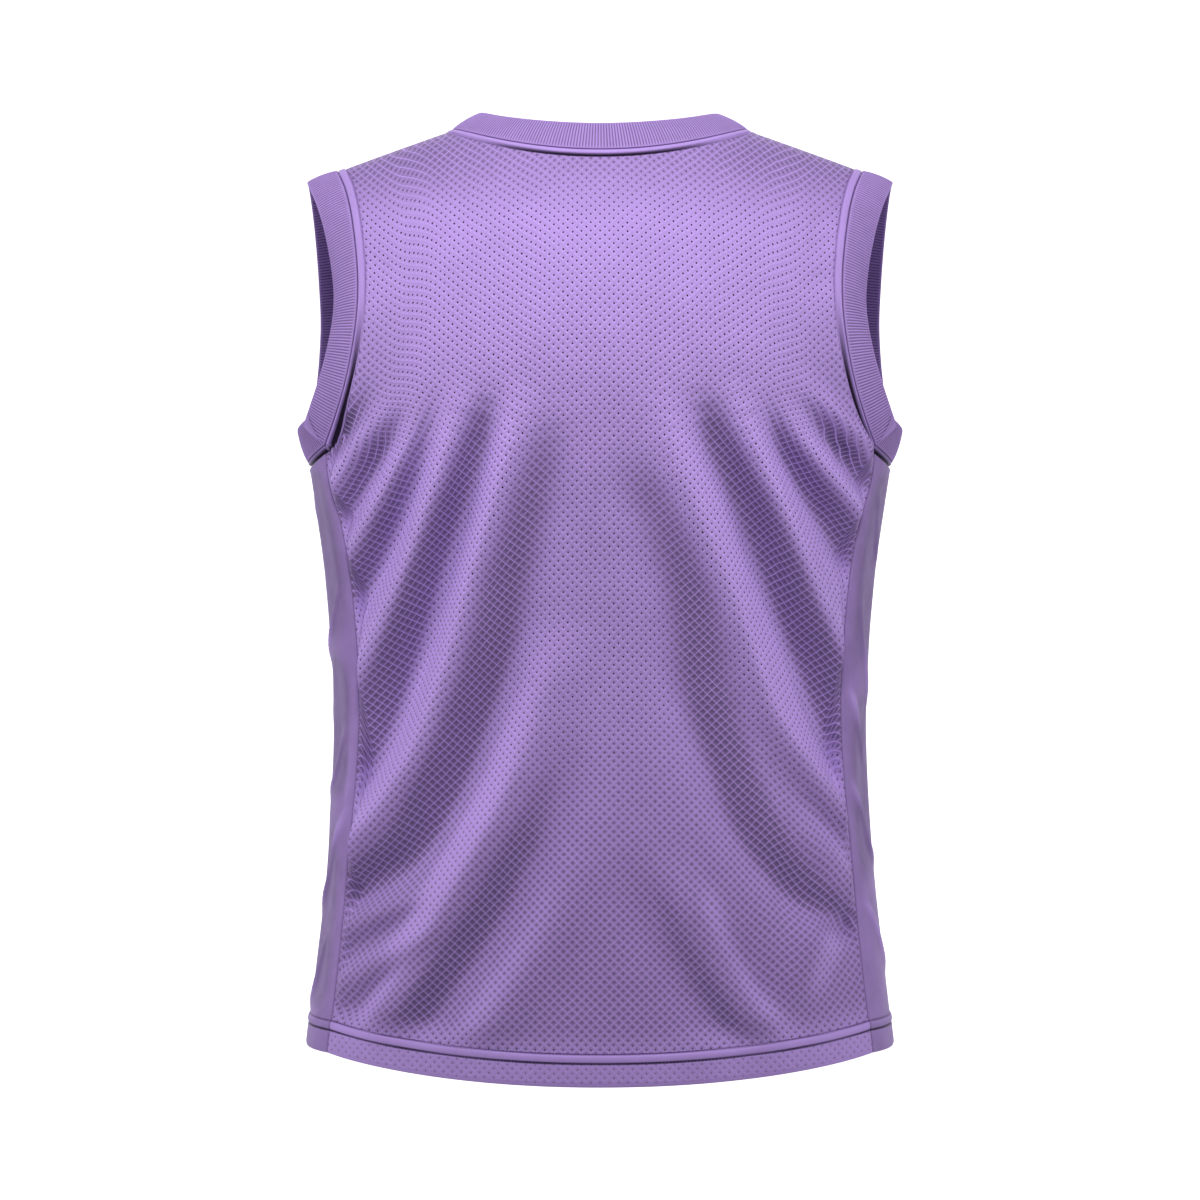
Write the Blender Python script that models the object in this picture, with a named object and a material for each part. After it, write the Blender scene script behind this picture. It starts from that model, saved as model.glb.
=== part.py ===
"""A sleeveless sports jersey in pinhole mesh, standing open as if worn, built from its cut pieces.

Metres, +Z up. The front faces -Y and the wearer's left is +X. The origin lies on the line of the
two shoulder seams, midway between the points where they meet the collar. Every length below is in
millimetres and becomes metres when a piece is made.

The body is one smooth form: level sections up to the underarm, closing over the shoulders to a
ridge. Each panel is a grid on that form with its own soft folds, given a wall of cloth. Pieces
that meet at a seam share the seam's points and the direction of the wall there, so they lie a
constant gap apart.
"""

import math
from collections import namedtuple

import bmesh
import bpy
from mathutils import Vector

MM = 0.001

# Cloth
MESH_THICKNESS = 1.3
SMOOTH_THICKNESS = 1.3
HEM_THICKNESS = 2.3
RIB_THICKNESS = 2.4
RIB_EDGE_THICKNESS = 1.5
SEAM_GAP = 0.3

# Shoulders and neck
NECK_HALF_WIDTH = 112.0
NECK_DROP_BACK = 23.5
NECK_DROP_FRONT = 84.0
SHOULDER_HALF_WIDTH = 199.0
SHOULDER_FALL = 0.374
RIDGE_ROUNDING = 50.0
BACK_CLOSING_HEIGHT = 230.0
FRONT_CLOSING_HEIGHT = 270.0
SQUARENESS = 2.4

# Hem and underarm
HEM_HEIGHT = -691.5
HEM_DROP = 16.5
HEM_DEPTH = 24.0
HEM_STEP = 1.5
UNDERARM_SEAM_HEIGHT = -240.5
UNDERARM_LOW_HEIGHT = -251.5

# Ribbed bands
COLLAR_WIDTH = 25.0
ARMBAND_WIDTH = 25.0
BAND_BULGE = 1.2

# How the grids are divided
NECK_COLUMNS = 22
SHOULDER_COLUMNS = 9
SIDE_COLUMNS = 7
BODY_ROWS = 20
ARMHOLE_ROWS = 13
TOP_CROWDING = 1.55
BAND_ROWS = 4

BACK = 1
FRONT = -1

# Level sections of the body. seam_across is where the side seams cross them.
Section = namedtuple("Section", "height half_width back_depth front_depth seam_across")
SECTIONS = (
    Section(-760, 230.0, 127, 120, 208.0),
    Section(-697, 222.3, 124, 117, 202.0),
    Section(-640, 215.5, 118, 113, 195.0),
    Section(-555, 206.5, 109, 108, 187.0),
    Section(-440, 201.5, 101, 105, 178.5),
    Section(-340, 207.8, 109, 113, 184.5),
    Section(-254, 219.3, 120, 123, 200.0),
    Section(-180, 224, 124, 129, 206),
    Section(-100, 227, 121, 124, 208),
    Section(0, 230, 112, 112, 210),
    Section(60, 232, 106, 106, 212),
)

# The armhole seams, which start at the shoulder seam and end at the side seams.
Armhole = namedtuple("Armhole", "height back_across front_across")
ARMHOLES = (
    Armhole(-240.5, 203.0, 203.0),
    Armhole(-223.5, 196.0, 200.5),
    Armhole(-197.5, 187.5, 198.0),
    Armhole(-171.5, 182.0, 195.5),
    Armhole(-141.5, 178.5, 194.0),
    Armhole(-110.5, 179.0, 194.5),
    Armhole(-71.5, 184.5, 196.0),
    Armhole(-47.5, 191.0, 197.5),
    Armhole(-30.9, 199.0, 199.0),
)

# Which way a ribbed band leans from its seam: outwards, towards the back, and up.
Lean = namedtuple("Lean", "turn outwards backwards upwards")
ARMBAND_LEANS = (
    Lean(0.00, 0.93, 0.00, -0.36),
    Lean(0.25, 0.74, -0.67, 0.00),
    Lean(0.41, 0.60, -0.30, 0.60),
    Lean(0.50, 0.30, 0.00, 0.95),
    Lean(0.61, 0.82, 0.18, 0.50),
    Lean(0.75, 0.93, 0.36, 0.00),
    Lean(1.00, 0.93, 0.00, -0.36),
)
COLLAR_LEANS = (
    Lean(0.00, -0.88, 0.00, 0.47),
    Lean(0.10, -0.62, -0.45, 0.64),
    Lean(0.25, 0.00, -0.51, 0.86),
    Lean(0.40, -0.62, -0.45, 0.64),
    Lean(0.50, -0.88, 0.00, 0.47),
    Lean(0.75, 0.00, 0.60, 0.80),
    Lean(1.00, -0.88, 0.00, 0.47),
)

# Soft folds, each as the places its middle line passes: spread is the half-width there, and rise
# the height, below 0 in a trough.
Bend = namedtuple("Bend", "across height spread rise")
BACK_FOLDS = (
    # Left of the middle, from the armhole to the side seam and down to the hem
    (Bend(150, -210, 9, 0), Bend(171, -236, 9, 3.2), Bend(199, -282, 9, 3)),
    (Bend(129, -218, 9, 0), Bend(140, -246, 9, 4.2), Bend(157, -280, 9, 4.2), Bend(185, -330, 9, 3.6)),
    (Bend(120, -218, 9, 0), Bend(138, -275, 9, -4.6), Bend(159, -326, 9, -4.4), Bend(186, -372, 9, -4)),
    (Bend(104, -215, 9, 0), Bend(120, -275, 9, 5.6), Bend(155, -372, 9, 5.4), Bend(185, -433, 9, 4.8)),
    (Bend(79, -215, 10, 0), Bend(97, -283, 10, -5.8), Bend(134, -400, 10, -5.8), Bend(186, -498, 10, -4.8)),
    (Bend(61, -215, 10, 0), Bend(77, -283, 10, 5.8), Bend(108, -400, 11, 6.2), Bend(152, -502, 11, 5.6), Bend(188, -548, 10, 5)),
    (Bend(35, -239, 13, 0), Bend(57, -341, 12, -4), Bend(85, -448, 12, -5.6), Bend(133, -540, 12, -6), Bend(188, -575, 10, -5.4)),
    (Bend(23, -385, 13, 0), Bend(50, -458, 13, 4), Bend(86, -538, 12, 5.2), Bend(123, -608, 12, 4.6), Bend(164, -673, 12, 4)),
    (Bend(20, -473, 13, 0), Bend(45, -535, 13, -3.6), Bend(76, -593, 13, -4.4), Bend(131, -673, 12, -4)),
    (Bend(15, -546, 13, 0), Bend(58, -633, 13, 3), Bend(86, -673, 13, 3.2)),
    # Right of the middle
    (Bend(-133, -218, 9, 0), Bend(-150, -245, 9, 4), Bend(-198, -304, 9, 3.6)),
    (Bend(-120, -218, 9, 0), Bend(-143, -264, 9, -4.8), Bend(-193, -342, 9, -4)),
    (Bend(-102, -215, 9, 0), Bend(-126, -279, 9, 5.6), Bend(-158, -358, 9, 5.4), Bend(-190, -430, 9, 4.8)),
    (Bend(-75, -215, 10, 0), Bend(-103, -284, 10, -5.8), Bend(-153, -414, 10, -5.4), Bend(-186, -494, 9, -4.6)),
    (Bend(-47, -215, 11, 0), Bend(-68, -284, 11, 5), Bend(-120, -429, 11, 5.4), Bend(-168, -503, 10, 4.8), Bend(-195, -542, 10, 4)),
    (Bend(-20, -261, 14, 0), Bend(-55, -356, 13, -3.6), Bend(-78, -467, 12, -4.4), Bend(-103, -526, 12, -4.8), Bend(-193, -602, 10, -4.4)),
    (Bend(-53, -553, 12, 0), Bend(-73, -600, 12, 3.6), Bend(-126, -678, 12, 4.2)),
    (Bend(-23, -553, 13, 0), Bend(-70, -640, 13, -3.6), Bend(-101, -681, 13, -3.6)),
)
FRONT_FOLDS = (
    # Left of the middle
    (Bend(148, -212, 9, 0), Bend(170, -242, 9, 3.4), Bend(199, -286, 9, 3)),
    (Bend(128, -218, 9, 0), Bend(142, -256, 9, -4.2), Bend(190, -360, 9, -3.6)),
    (Bend(104, -222, 9, 0), Bend(117, -268, 9, 5), Bend(142, -346, 9, 5), Bend(190, -436, 9, 4)),
    (Bend(78, -226, 10, 0), Bend(92, -286, 10, -5), Bend(119, -376, 10, -5.2), Bend(188, -502, 9, -4)),
    (Bend(54, -232, 11, 0), Bend(70, -300, 11, 4.8), Bend(99, -402, 11, 5.2), Bend(136, -486, 11, 4.8), Bend(190, -556, 10, 4)),
    (Bend(30, -262, 13, 0), Bend(70, -430, 12, -4.8), Bend(112, -522, 12, -4.8), Bend(190, -596, 10, -4)),
    (Bend(24, -410, 13, 0), Bend(46, -478, 13, 3.6), Bend(82, -556, 12, 4.4), Bend(168, -674, 12, 3.6)),
    (Bend(18, -486, 13, 0), Bend(40, -548, 13, -3.2), Bend(124, -676, 13, -3.6)),
    # Right of the middle
    (Bend(-140, -214, 9, 0), Bend(-164, -250, 9, -3.6), Bend(-200, -300, 9, -3)),
    (Bend(-116, -218, 9, 0), Bend(-134, -264, 9, 4.6), Bend(-192, -380, 9, 3.6)),
    (Bend(-90, -222, 9, 0), Bend(-104, -276, 9, -5), Bend(-136, -362, 9, -5), Bend(-190, -456, 9, -4)),
    (Bend(-66, -226, 11, 0), Bend(-80, -292, 11, 4.8), Bend(-112, -396, 10, 5.2), Bend(-196, -540, 10, 4)),
    (Bend(-38, -256, 13, 0), Bend(-76, -430, 12, -4.4), Bend(-120, -520, 12, -4.8), Bend(-192, -588, 10, -4)),
    (Bend(-26, -420, 13, 0), Bend(-50, -500, 13, 3.2), Bend(-92, -572, 12, 4.4), Bend(-192, -664, 11, 3.4)),
    (Bend(-18, -512, 13, 0), Bend(-88, -634, 13, -4), Bend(-136, -680, 12, -3.6)),
)
FOLD_STEP = 6.0

# The side panels' folds: forward is the distance of the middle line behind (+) the side line.
SideFold = namedtuple(
    "SideFold", "start_backward start_height end_backward end_height spread rise"
)
SIDE_FOLDS = (
    SideFold(34, -300, 20, -660, 9, -2.2),
    SideFold(-30, -280, -22, -640, 9, -2.2),
    SideFold(0, -420, -6, -680, 10, 1.6),
)
FOLD_EDGE_FADE = 10.0

Material = namedtuple("Material", "color roughness")
MATERIALS = {
    "pinhole_mesh": Material((0.50, 0.32, 0.80, 1.0), 0.48),
    "smooth_knit": Material((0.47, 0.30, 0.75, 1.0), 0.50),
    "rib_knit": Material((0.50, 0.33, 0.79, 1.0), 0.62),
}


def between(rows, at, column):
    """A column of a table at any place along its first column, as a smooth curve through the rows."""
    last = len(rows) - 1
    places = [row[0] for row in rows]
    step = 1 if places[-1] > places[0] else -1
    k = 0
    while k < last - 1 and (at - places[k + 1]) * step > 0:
        k += 1

    def value(i):
        return getattr(rows[i], column)

    def slope(i):
        low, high = max(i - 1, 0), min(i + 1, last)
        return (value(high) - value(low)) / (places[high] - places[low])

    span = places[k + 1] - places[k]
    t = min(1.0, max(0.0, (at - places[k]) / span))
    return (
        (2 * t**3 - 3 * t**2 + 1) * value(k)
        + (t**3 - 2 * t**2 + t) * span * slope(k)
        + (3 * t**2 - 2 * t**3) * value(k + 1)
        + (t**3 - t**2) * span * slope(k + 1)
    )


def eased(share):
    """0 below 0, 1 above 1, and a smooth step in between."""
    share = min(1.0, max(0.0, share))
    return share * share * (3 - 2 * share)


# The body's form


def ridge_height(across):
    """Where the back and front meet over the shoulder, highest at the middle of the neck."""
    at_neck = math.hypot(NECK_HALF_WIDTH, RIDGE_ROUNDING)
    return SHOULDER_FALL * (at_neck - math.hypot(across, RIDGE_ROUNDING))


def squared_depth(across, height, side):
    """The square of the body's depth behind (BACK) or in front of (FRONT) the side line."""
    width = between(SECTIONS, height, "half_width")
    depth = between(SECTIONS, height, "back_depth" if side == BACK else "front_depth")
    closing = BACK_CLOSING_HEIGHT if side == BACK else FRONT_CLOSING_HEIGHT
    inside = max(0.0, 1.0 - (abs(across) / width) ** SQUARENESS)
    below = min(1.0, max(0.0, (ridge_height(across) - height) / closing))
    return depth**2 * inside ** (2 / SQUARENESS) * (1.0 - (1.0 - below) ** 2)


def on_body(across, height, side):
    """The body's point at a place seen from the front."""
    return Vector((across, side * math.sqrt(squared_depth(across, height, side)), height))


def outwards(point, side):
    """The body's outward direction at a point on it."""
    reach = 0.2
    x, y, z = point
    inner, outer = abs(x) - reach, abs(x) + reach
    if squared_depth(outer, z, side) == 0.0:
        outer = abs(x)
    by_x = (squared_depth(outer, z, side) - squared_depth(inner, z, side)) / (outer - inner)
    by_z = (squared_depth(x, z, side) - squared_depth(x, z - reach, side)) / reach
    return Vector((-by_x * math.copysign(1, x), 2 * y, -by_z)).normalized()


def on_side(turn, height):
    """The body's point at a turn round the side, from the back seam at 0 to the front seam at 1."""
    seam = between(SECTIONS, height, "seam_across")
    if height > UNDERARM_SEAM_HEIGHT - 60:
        share = eased((height - UNDERARM_SEAM_HEIGHT + 60) / 60)
        seam += share * (ARMHOLES[0].back_across - seam)
    width = between(SECTIONS, height, "half_width")
    start = math.acos((seam / width) ** (SQUARENESS / 2))
    angle = start * (1 - 2 * turn)
    side = BACK if angle >= 0 else FRONT
    return on_body(width * math.cos(angle) ** (2 / SQUARENESS), height, side), side


# Rows shared by the panels, as heights on the side edge from the hem to the shoulder


def edge_heights():
    low = HEM_HEIGHT
    rows = [low, low + HEM_DEPTH / 2, low + HEM_DEPTH]
    start = low + HEM_DEPTH + HEM_STEP
    span = UNDERARM_SEAM_HEIGHT - start
    rows += [start + span * k / BODY_ROWS for k in range(BODY_ROWS + 1)]
    top = ridge_height(SHOULDER_HALF_WIDTH)
    rise = top - UNDERARM_SEAM_HEIGHT
    for k in range(ARMHOLE_ROWS - 1, -1, -1):
        rows.append(top - rise * (k / ARMHOLE_ROWS) ** TOP_CROWDING)
    return rows


EDGE_HEIGHTS = edge_heights()
UNDERARM_ROW = len(EDGE_HEIGHTS) - 1 - ARMHOLE_ROWS


def edge_across(height, side):
    """How far the edge of a front or back panel lies from the middle."""
    if height >= UNDERARM_SEAM_HEIGHT:
        return between(ARMHOLES, height, "back_across" if side == BACK else "front_across")
    return on_side(0.0, height)[0].x


def column_shares():
    """Places across a front or back panel, from -1 to 1, with one at each end of the neckline."""
    neck = NECK_HALF_WIDTH / SHOULDER_HALF_WIDTH
    shoulder = [neck + (1 - neck) * k / SHOULDER_COLUMNS for k in range(1, SHOULDER_COLUMNS + 1)]
    even = [2 * k / NECK_COLUMNS - 1 for k in range(NECK_COLUMNS + 1)]
    middle = [neck * (0.4 * s + 0.6 * math.sin(s * math.pi / 2)) for s in even]
    return [-s for s in reversed(shoulder)] + middle + shoulder


COLUMN_SHARES = column_shares()


def top_height(across, side):
    """The neckline in the middle, and the shoulder seam on both sides of it."""
    share = abs(across) / NECK_HALF_WIDTH
    if share >= 1.0 - 1e-6:
        return ridge_height(across)
    drop = NECK_DROP_BACK if side == BACK else NECK_DROP_FRONT
    return -drop * (1 - share**2)


def hem_height(across):
    """The hem, lower at the middle than at the sides."""
    return HEM_HEIGHT - HEM_DROP * (1 - min(1.0, abs(across) / SECTIONS[1].seam_across) ** 2)


def panel_place(share, row, side):
    """(across, height) of a panel's grid point."""
    low, high = EDGE_HEIGHTS[0], EDGE_HEIGHTS[-1]
    edge = EDGE_HEIGHTS[row]
    up = (edge - low) / (high - low)
    across = share * edge_across(edge, side)
    bottom = hem_height(share * SECTIONS[1].seam_across)
    top = top_height(share * SHOULDER_HALF_WIDTH, side)
    return across, bottom + up * (top - bottom)


# Folds


Place = namedtuple("Place", "run across height spread rise")


def fold_line(bends):
    """Close places along a fold."""
    rows, run = [], 0.0
    for bend, before in zip(bends, bends[:1] + bends[:-1]):
        run += math.hypot(bend.across - before.across, bend.height - before.height)
        rows.append(Place(run, *bend))
    count = math.ceil(run / FOLD_STEP)
    runs = [run * k / count for k in range(count + 1)]
    return [Bend(*[between(rows, at, column) for column in Bend._fields]) for at in runs]


def distance_squared(across, height, place):
    return (across - place.across) ** 2 + (height - place.height) ** 2


FOLD_LINES = {
    BACK: [fold_line(bends) for bends in BACK_FOLDS],
    FRONT: [fold_line(bends) for bends in FRONT_FOLDS],
}


def fold_rise(across, height, line):
    """How far one fold lifts the cloth at a place."""
    nearest = min(line, key=lambda place: distance_squared(across, height, place))
    share = distance_squared(across, height, nearest) / nearest.spread**2
    return nearest.rise * math.exp(-share / 2)


def panel_rise(across, height, side):
    """The folds of a front or back panel, fading out at its edges."""
    edge = edge_across(min(height, ARMHOLES[-1].height), side) - abs(across)
    above_hem = height - (hem_height(across) + HEM_DEPTH)
    fade = eased(edge / FOLD_EDGE_FADE) * eased(above_hem / FOLD_EDGE_FADE)
    return fade * sum(fold_rise(across, height, line) for line in FOLD_LINES[side])


def side_rise(backward, height, turn):
    """The folds of a side panel, fading out at its seams."""
    total = 0.0
    for fold in SIDE_FOLDS:
        along = (height - fold.start_height) / (fold.end_height - fold.start_height)
        middle = fold.start_backward + along * (fold.end_backward - fold.start_backward)
        taper = eased((along + 0.1) / 0.3) * eased((1.1 - along) / 0.3)
        total += fold.rise * taper * math.exp(-(((backward - middle) / fold.spread) ** 2) / 2)
    above_hem = height - (HEM_HEIGHT + HEM_DEPTH)
    return total * eased(4 * min(turn, 1 - turn)) * eased(above_hem / FOLD_EDGE_FADE)


# Grids: each place holds the seam's plain point, the wall's direction and the fold's rise

Spot = namedtuple("Spot", "point up rise")


def panel_grid(side):
    """A front or back panel, row by row from the hem, column by column towards +X."""
    grid = []
    for row in range(len(EDGE_HEIGHTS)):
        places = []
        for share in COLUMN_SHARES:
            across, height = panel_place(share, row, side)
            if abs(share) == 1.0 and row <= UNDERARM_ROW:
                point = on_side(0.0 if side == BACK else 1.0, height)[0]
                point.x = math.copysign(point.x, share)
            else:
                point = on_body(across, height, side)
            places.append(Spot(point, outwards(point, side), panel_rise(across, height, side)))
        grid.append(places)
    return grid


def side_grid(hand):
    """A side panel on the wearer's left (1) or right (-1), from the back seam to the front seam."""
    grid = []
    for row, edge in enumerate(EDGE_HEIGHTS[: UNDERARM_ROW + 1]):
        share = row / UNDERARM_ROW
        places = []
        for column in range(SIDE_COLUMNS + 1):
            turn = column / SIDE_COLUMNS
            sag = 4 * turn * (1 - turn) * (UNDERARM_SEAM_HEIGHT - UNDERARM_LOW_HEIGHT)
            height = edge - sag * share**4
            point, side = on_side(turn, height)
            up = outwards(point, side)
            rise = side_rise(point.y, height, turn)
            point.x *= hand
            up.x *= hand
            places.append(Spot(point, up, rise))
        grid.append(places)
    return grid


# Walls


def lifted(place, lift):
    return place.point + place.up * (place.rise + lift)


def drawn_in(grid):
    """The grid's edges moved half a seam gap into the piece."""
    drawn = [list(row) for row in grid]

    def nearer(place, towards):
        step = (towards.point - place.point).normalized() * SEAM_GAP / 2
        return place._replace(point=place.point + step)

    for row in drawn:
        row[0], row[-1] = nearer(row[0], row[1]), nearer(row[-1], row[-2])
    drawn[-1] = [nearer(a, b) for a, b in zip(drawn[-1], drawn[-2])]
    return drawn


def wall(name, inner, outer, material, ring=False):
    """A closed wall of cloth between two grids of points. ring sews the last column to the first.

    A grid is bent to the inner points and extruded, and the new layer is moved to the outer points:
    Solidify would choose its own direction at an edge, and pieces would meet there.
    """
    if ring:
        inner, outer = ([row + row[:1] for row in grid] for grid in (inner, outer))
    rows, columns = len(inner), len(inner[0])
    cloth = bmesh.new()
    row_tag = cloth.verts.layers.int.new("row")
    column_tag = cloth.verts.layers.int.new("column")
    bmesh.ops.create_grid(cloth, x_segments=columns - 1, y_segments=rows - 1, size=0.5)
    for vertex in cloth.verts:
        row = round((vertex.co.y + 0.5) * (rows - 1))
        column = round((vertex.co.x + 0.5) * (columns - 1))
        vertex[row_tag], vertex[column_tag] = row, column
        vertex.co = inner[row][column] * MM
    if ring:
        ends = [v for v in cloth.verts if v[column_tag] in (0, columns - 1)]
        bmesh.ops.remove_doubles(cloth, verts=ends, dist=1e-6)
    raised = bmesh.ops.extrude_face_region(cloth, geom=cloth.faces[:], use_keep_orig=True)
    for part in raised["geom"]:
        if isinstance(part, bmesh.types.BMVert):
            part.co = outer[part[row_tag]][part[column_tag]] * MM
    bmesh.ops.recalc_face_normals(cloth, faces=cloth.faces)

    mesh = bpy.data.meshes.new(name)
    cloth.to_mesh(mesh)
    cloth.free()
    mesh.shade_smooth()
    mesh.set_sharp_from_angle(angle=math.radians(50))
    mesh.materials.append(material)
    piece = bpy.data.objects.new(name, mesh)
    jersey.objects.link(piece)
    return piece


def panel(name, grid, thickness, material):
    """A cut panel with its doubled hem, from a grid on the body."""
    drawn = drawn_in(grid)
    hem_rows = 3
    inner = [[lifted(place, 0.0) for place in row] for row in drawn]
    outer = [
        [lifted(place, HEM_THICKNESS if row < hem_rows else thickness) for place in places]
        for row, places in enumerate(drawn)
    ]
    return wall(name, inner, outer, material)


def band(name, seam, leans, width, material):
    """A ribbed band sewn to a closed seam. seam is a list of places; each lean is set by its turn."""
    count = len(seam)
    inner, outer = [], []
    ways, ups = [], []
    for k, place in enumerate(seam):
        turn, hand = place.turn, place.hand
        lean = Vector(
            (
                hand * between(leans, turn, "outwards"),
                between(leans, turn, "backwards"),
                between(leans, turn, "upwards"),
            )
        )
        along = (seam[(k + 1) % count].point - seam[k - 1].point).normalized()
        way = (lean - along * lean.dot(along)).normalized()
        up = along.cross(way).normalized()
        if up.dot(place.up) < 0:
            up = -up
        ways.append(way)
        ups.append(up)
    for r in range(BAND_ROWS + 1):
        share = r / BAND_ROWS
        reach = SEAM_GAP / 2 + share * (width - SEAM_GAP / 2)
        bulge = BAND_BULGE * 4 * share * (1 - share)
        turned = eased(share * BAND_ROWS)
        low, high = 0.0, RIB_THICKNESS
        if r == BAND_ROWS:
            low = (RIB_THICKNESS - RIB_EDGE_THICKNESS) / 2
            high = RIB_THICKNESS - low
        inner_row, outer_row = [], []
        for place, way, up in zip(seam, ways, ups):
            away = (place.up * (1 - turned) + up * turned).normalized()
            base = place.point + way * reach + up * bulge
            inner_row.append(base + away * low)
            outer_row.append(base + away * high)
        inner.append(inner_row)
        outer.append(outer_row)
    return wall(name, inner, outer, material, ring=True)


# Seams as closed lines of places

SeamPlace = namedtuple("SeamPlace", "point up turn hand")


def armhole_seam(hand, back, front, side):
    """Round an armhole: down the back panel, under the arm and up the front panel."""
    edge = -1 if hand > 0 else 0
    top = len(EDGE_HEIGHTS) - 1
    line = []

    def add(place, turn):
        line.append(SeamPlace(place.point, place.up, turn, hand))

    for row in range(top, UNDERARM_ROW, -1):
        add(back[row][edge], 0.42 * (top - row) / ARMHOLE_ROWS)
    for column, place in enumerate(side[UNDERARM_ROW]):
        add(place, 0.42 + 0.16 * column / SIDE_COLUMNS)
    for row in range(UNDERARM_ROW + 1, top):
        add(front[row][edge], 1.0 - 0.42 * (top - row) / ARMHOLE_ROWS)
    return line


def neck_seam(back, front):
    """Round the neck: over the back from the wearer's left to right, then over the front."""
    first = SHOULDER_COLUMNS
    last = first + NECK_COLUMNS
    line = []

    def add(grid, column, turn):
        place = grid[-1][column]
        hand = 1 if place.point.x >= 0 else -1
        line.append(SeamPlace(place.point, place.up, turn, hand))

    for column in range(last, first, -1):
        add(back, column, 0.5 * (last - column) / NECK_COLUMNS)
    for column in range(first, last):
        add(front, column, 0.5 + 0.5 * (column - first) / NECK_COLUMNS)
    return line


def make_materials():
    made = {}
    for name, look in MATERIALS.items():
        material = bpy.data.materials.new(name)
        material.use_nodes = True
        shader = material.node_tree.nodes["Principled BSDF"]
        shader.inputs["Base Color"].default_value = look.color
        shader.inputs["Roughness"].default_value = look.roughness
        shader.inputs["Metallic"].default_value = 0.0
        made[name] = material
    return made


def build():
    cloth = make_materials()
    back, front = panel_grid(BACK), panel_grid(FRONT)
    left, right = side_grid(1), side_grid(-1)
    panel("back_panel", back, MESH_THICKNESS, cloth["pinhole_mesh"])
    panel("front_panel", front, MESH_THICKNESS, cloth["pinhole_mesh"])
    panel("side_panel_left", left, SMOOTH_THICKNESS, cloth["smooth_knit"])
    panel("side_panel_right", right, SMOOTH_THICKNESS, cloth["smooth_knit"])
    neck = neck_seam(back, front)
    band("collar", neck, COLLAR_LEANS, COLLAR_WIDTH, cloth["rib_knit"])
    for name, hand, side in (("left", 1, left), ("right", -1, right)):
        seam = armhole_seam(hand, back, front, side)
        band("armband_" + name, seam, ARMBAND_LEANS, ARMBAND_WIDTH, cloth["rib_knit"])


for thing in list(bpy.data.objects):
    bpy.data.objects.remove(thing)
jersey = bpy.data.collections.new("sleeveless_jersey")
bpy.context.scene.collection.children.link(jersey)
build()
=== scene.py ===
"""Dresses a sleeveless mesh jersey: fine cloth with its creases, rib knit, seams and topstitching.

The jersey stands open as if worn. +Z is up, its front faces -Y, its back +Y, and the wearer's
left is +X. The origin is midway between the points where the shoulder seams meet the collar.
Lengths in the tables and functions are millimetres; they become metres when a mesh is made.
"""

import math
from collections import namedtuple

import bpy
import numpy as np
from bpy.props import FloatProperty, FloatVectorProperty, PointerProperty
from bpy.types import Operator, Panel, PropertyGroup
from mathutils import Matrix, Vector
from mathutils.kdtree import KDTree


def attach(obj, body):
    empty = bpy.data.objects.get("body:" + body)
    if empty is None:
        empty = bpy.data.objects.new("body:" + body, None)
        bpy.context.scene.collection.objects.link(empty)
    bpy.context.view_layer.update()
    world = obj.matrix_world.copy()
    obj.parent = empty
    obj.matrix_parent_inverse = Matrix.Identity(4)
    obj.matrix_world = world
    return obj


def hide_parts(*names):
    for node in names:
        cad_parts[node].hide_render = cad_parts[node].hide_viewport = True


bl_info = {
    "name": "Sleeveless Mesh Jersey",
    "version": (1, 0, 0),
    "blender": (4, 5, 0),
    "location": "3D View > Sidebar > Jersey",
    "description": "Dresses a sleeveless jersey in pinhole mesh, rib knit and topstitching",
    "category": "Object",
}

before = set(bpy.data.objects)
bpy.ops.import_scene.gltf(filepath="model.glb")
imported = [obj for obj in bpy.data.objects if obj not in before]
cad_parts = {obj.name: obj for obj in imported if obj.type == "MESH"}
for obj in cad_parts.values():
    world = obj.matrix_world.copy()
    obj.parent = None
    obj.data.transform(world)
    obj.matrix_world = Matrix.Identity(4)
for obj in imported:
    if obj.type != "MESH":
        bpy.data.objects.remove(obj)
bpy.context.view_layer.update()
MM = 0.001

# The body's form, the same as the cut pieces'

NECK_HALF_WIDTH = 112.0
NECK_DROP_BACK = 23.5
NECK_DROP_FRONT = 84.0
SHOULDER_HALF_WIDTH = 199.0
SHOULDER_FALL = 0.374
RIDGE_ROUNDING = 50.0
BACK_CLOSING_HEIGHT = 230.0
FRONT_CLOSING_HEIGHT = 270.0
SQUARENESS = 2.4
HEM_HEIGHT = -691.5
HEM_DROP = 16.5
UNDERARM_SEAM_HEIGHT = -240.5
UNDERARM_LOW_HEIGHT = -251.5
CLOTH_THICKNESS = 1.3
HEM_THICKNESS = 2.3
RIB_THICKNESS = 2.4
BAND_WIDTH = 25.0
BAND_BULGE = 1.2

BACK = 1
FRONT = -1

Section = namedtuple("Section", "height half_width back_depth front_depth seam_across")
SECTIONS = (
    Section(-760, 230.0, 127, 120, 208.0),
    Section(-697, 222.3, 124, 117, 202.0),
    Section(-640, 215.5, 118, 113, 195.0),
    Section(-555, 206.5, 109, 108, 187.0),
    Section(-440, 201.5, 101, 105, 178.5),
    Section(-340, 207.8, 109, 113, 184.5),
    Section(-254, 219.3, 120, 123, 200.0),
    Section(-180, 224, 124, 129, 206),
    Section(-100, 227, 121, 124, 208),
    Section(0, 230, 112, 112, 210),
    Section(60, 232, 106, 106, 212),
)

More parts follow.
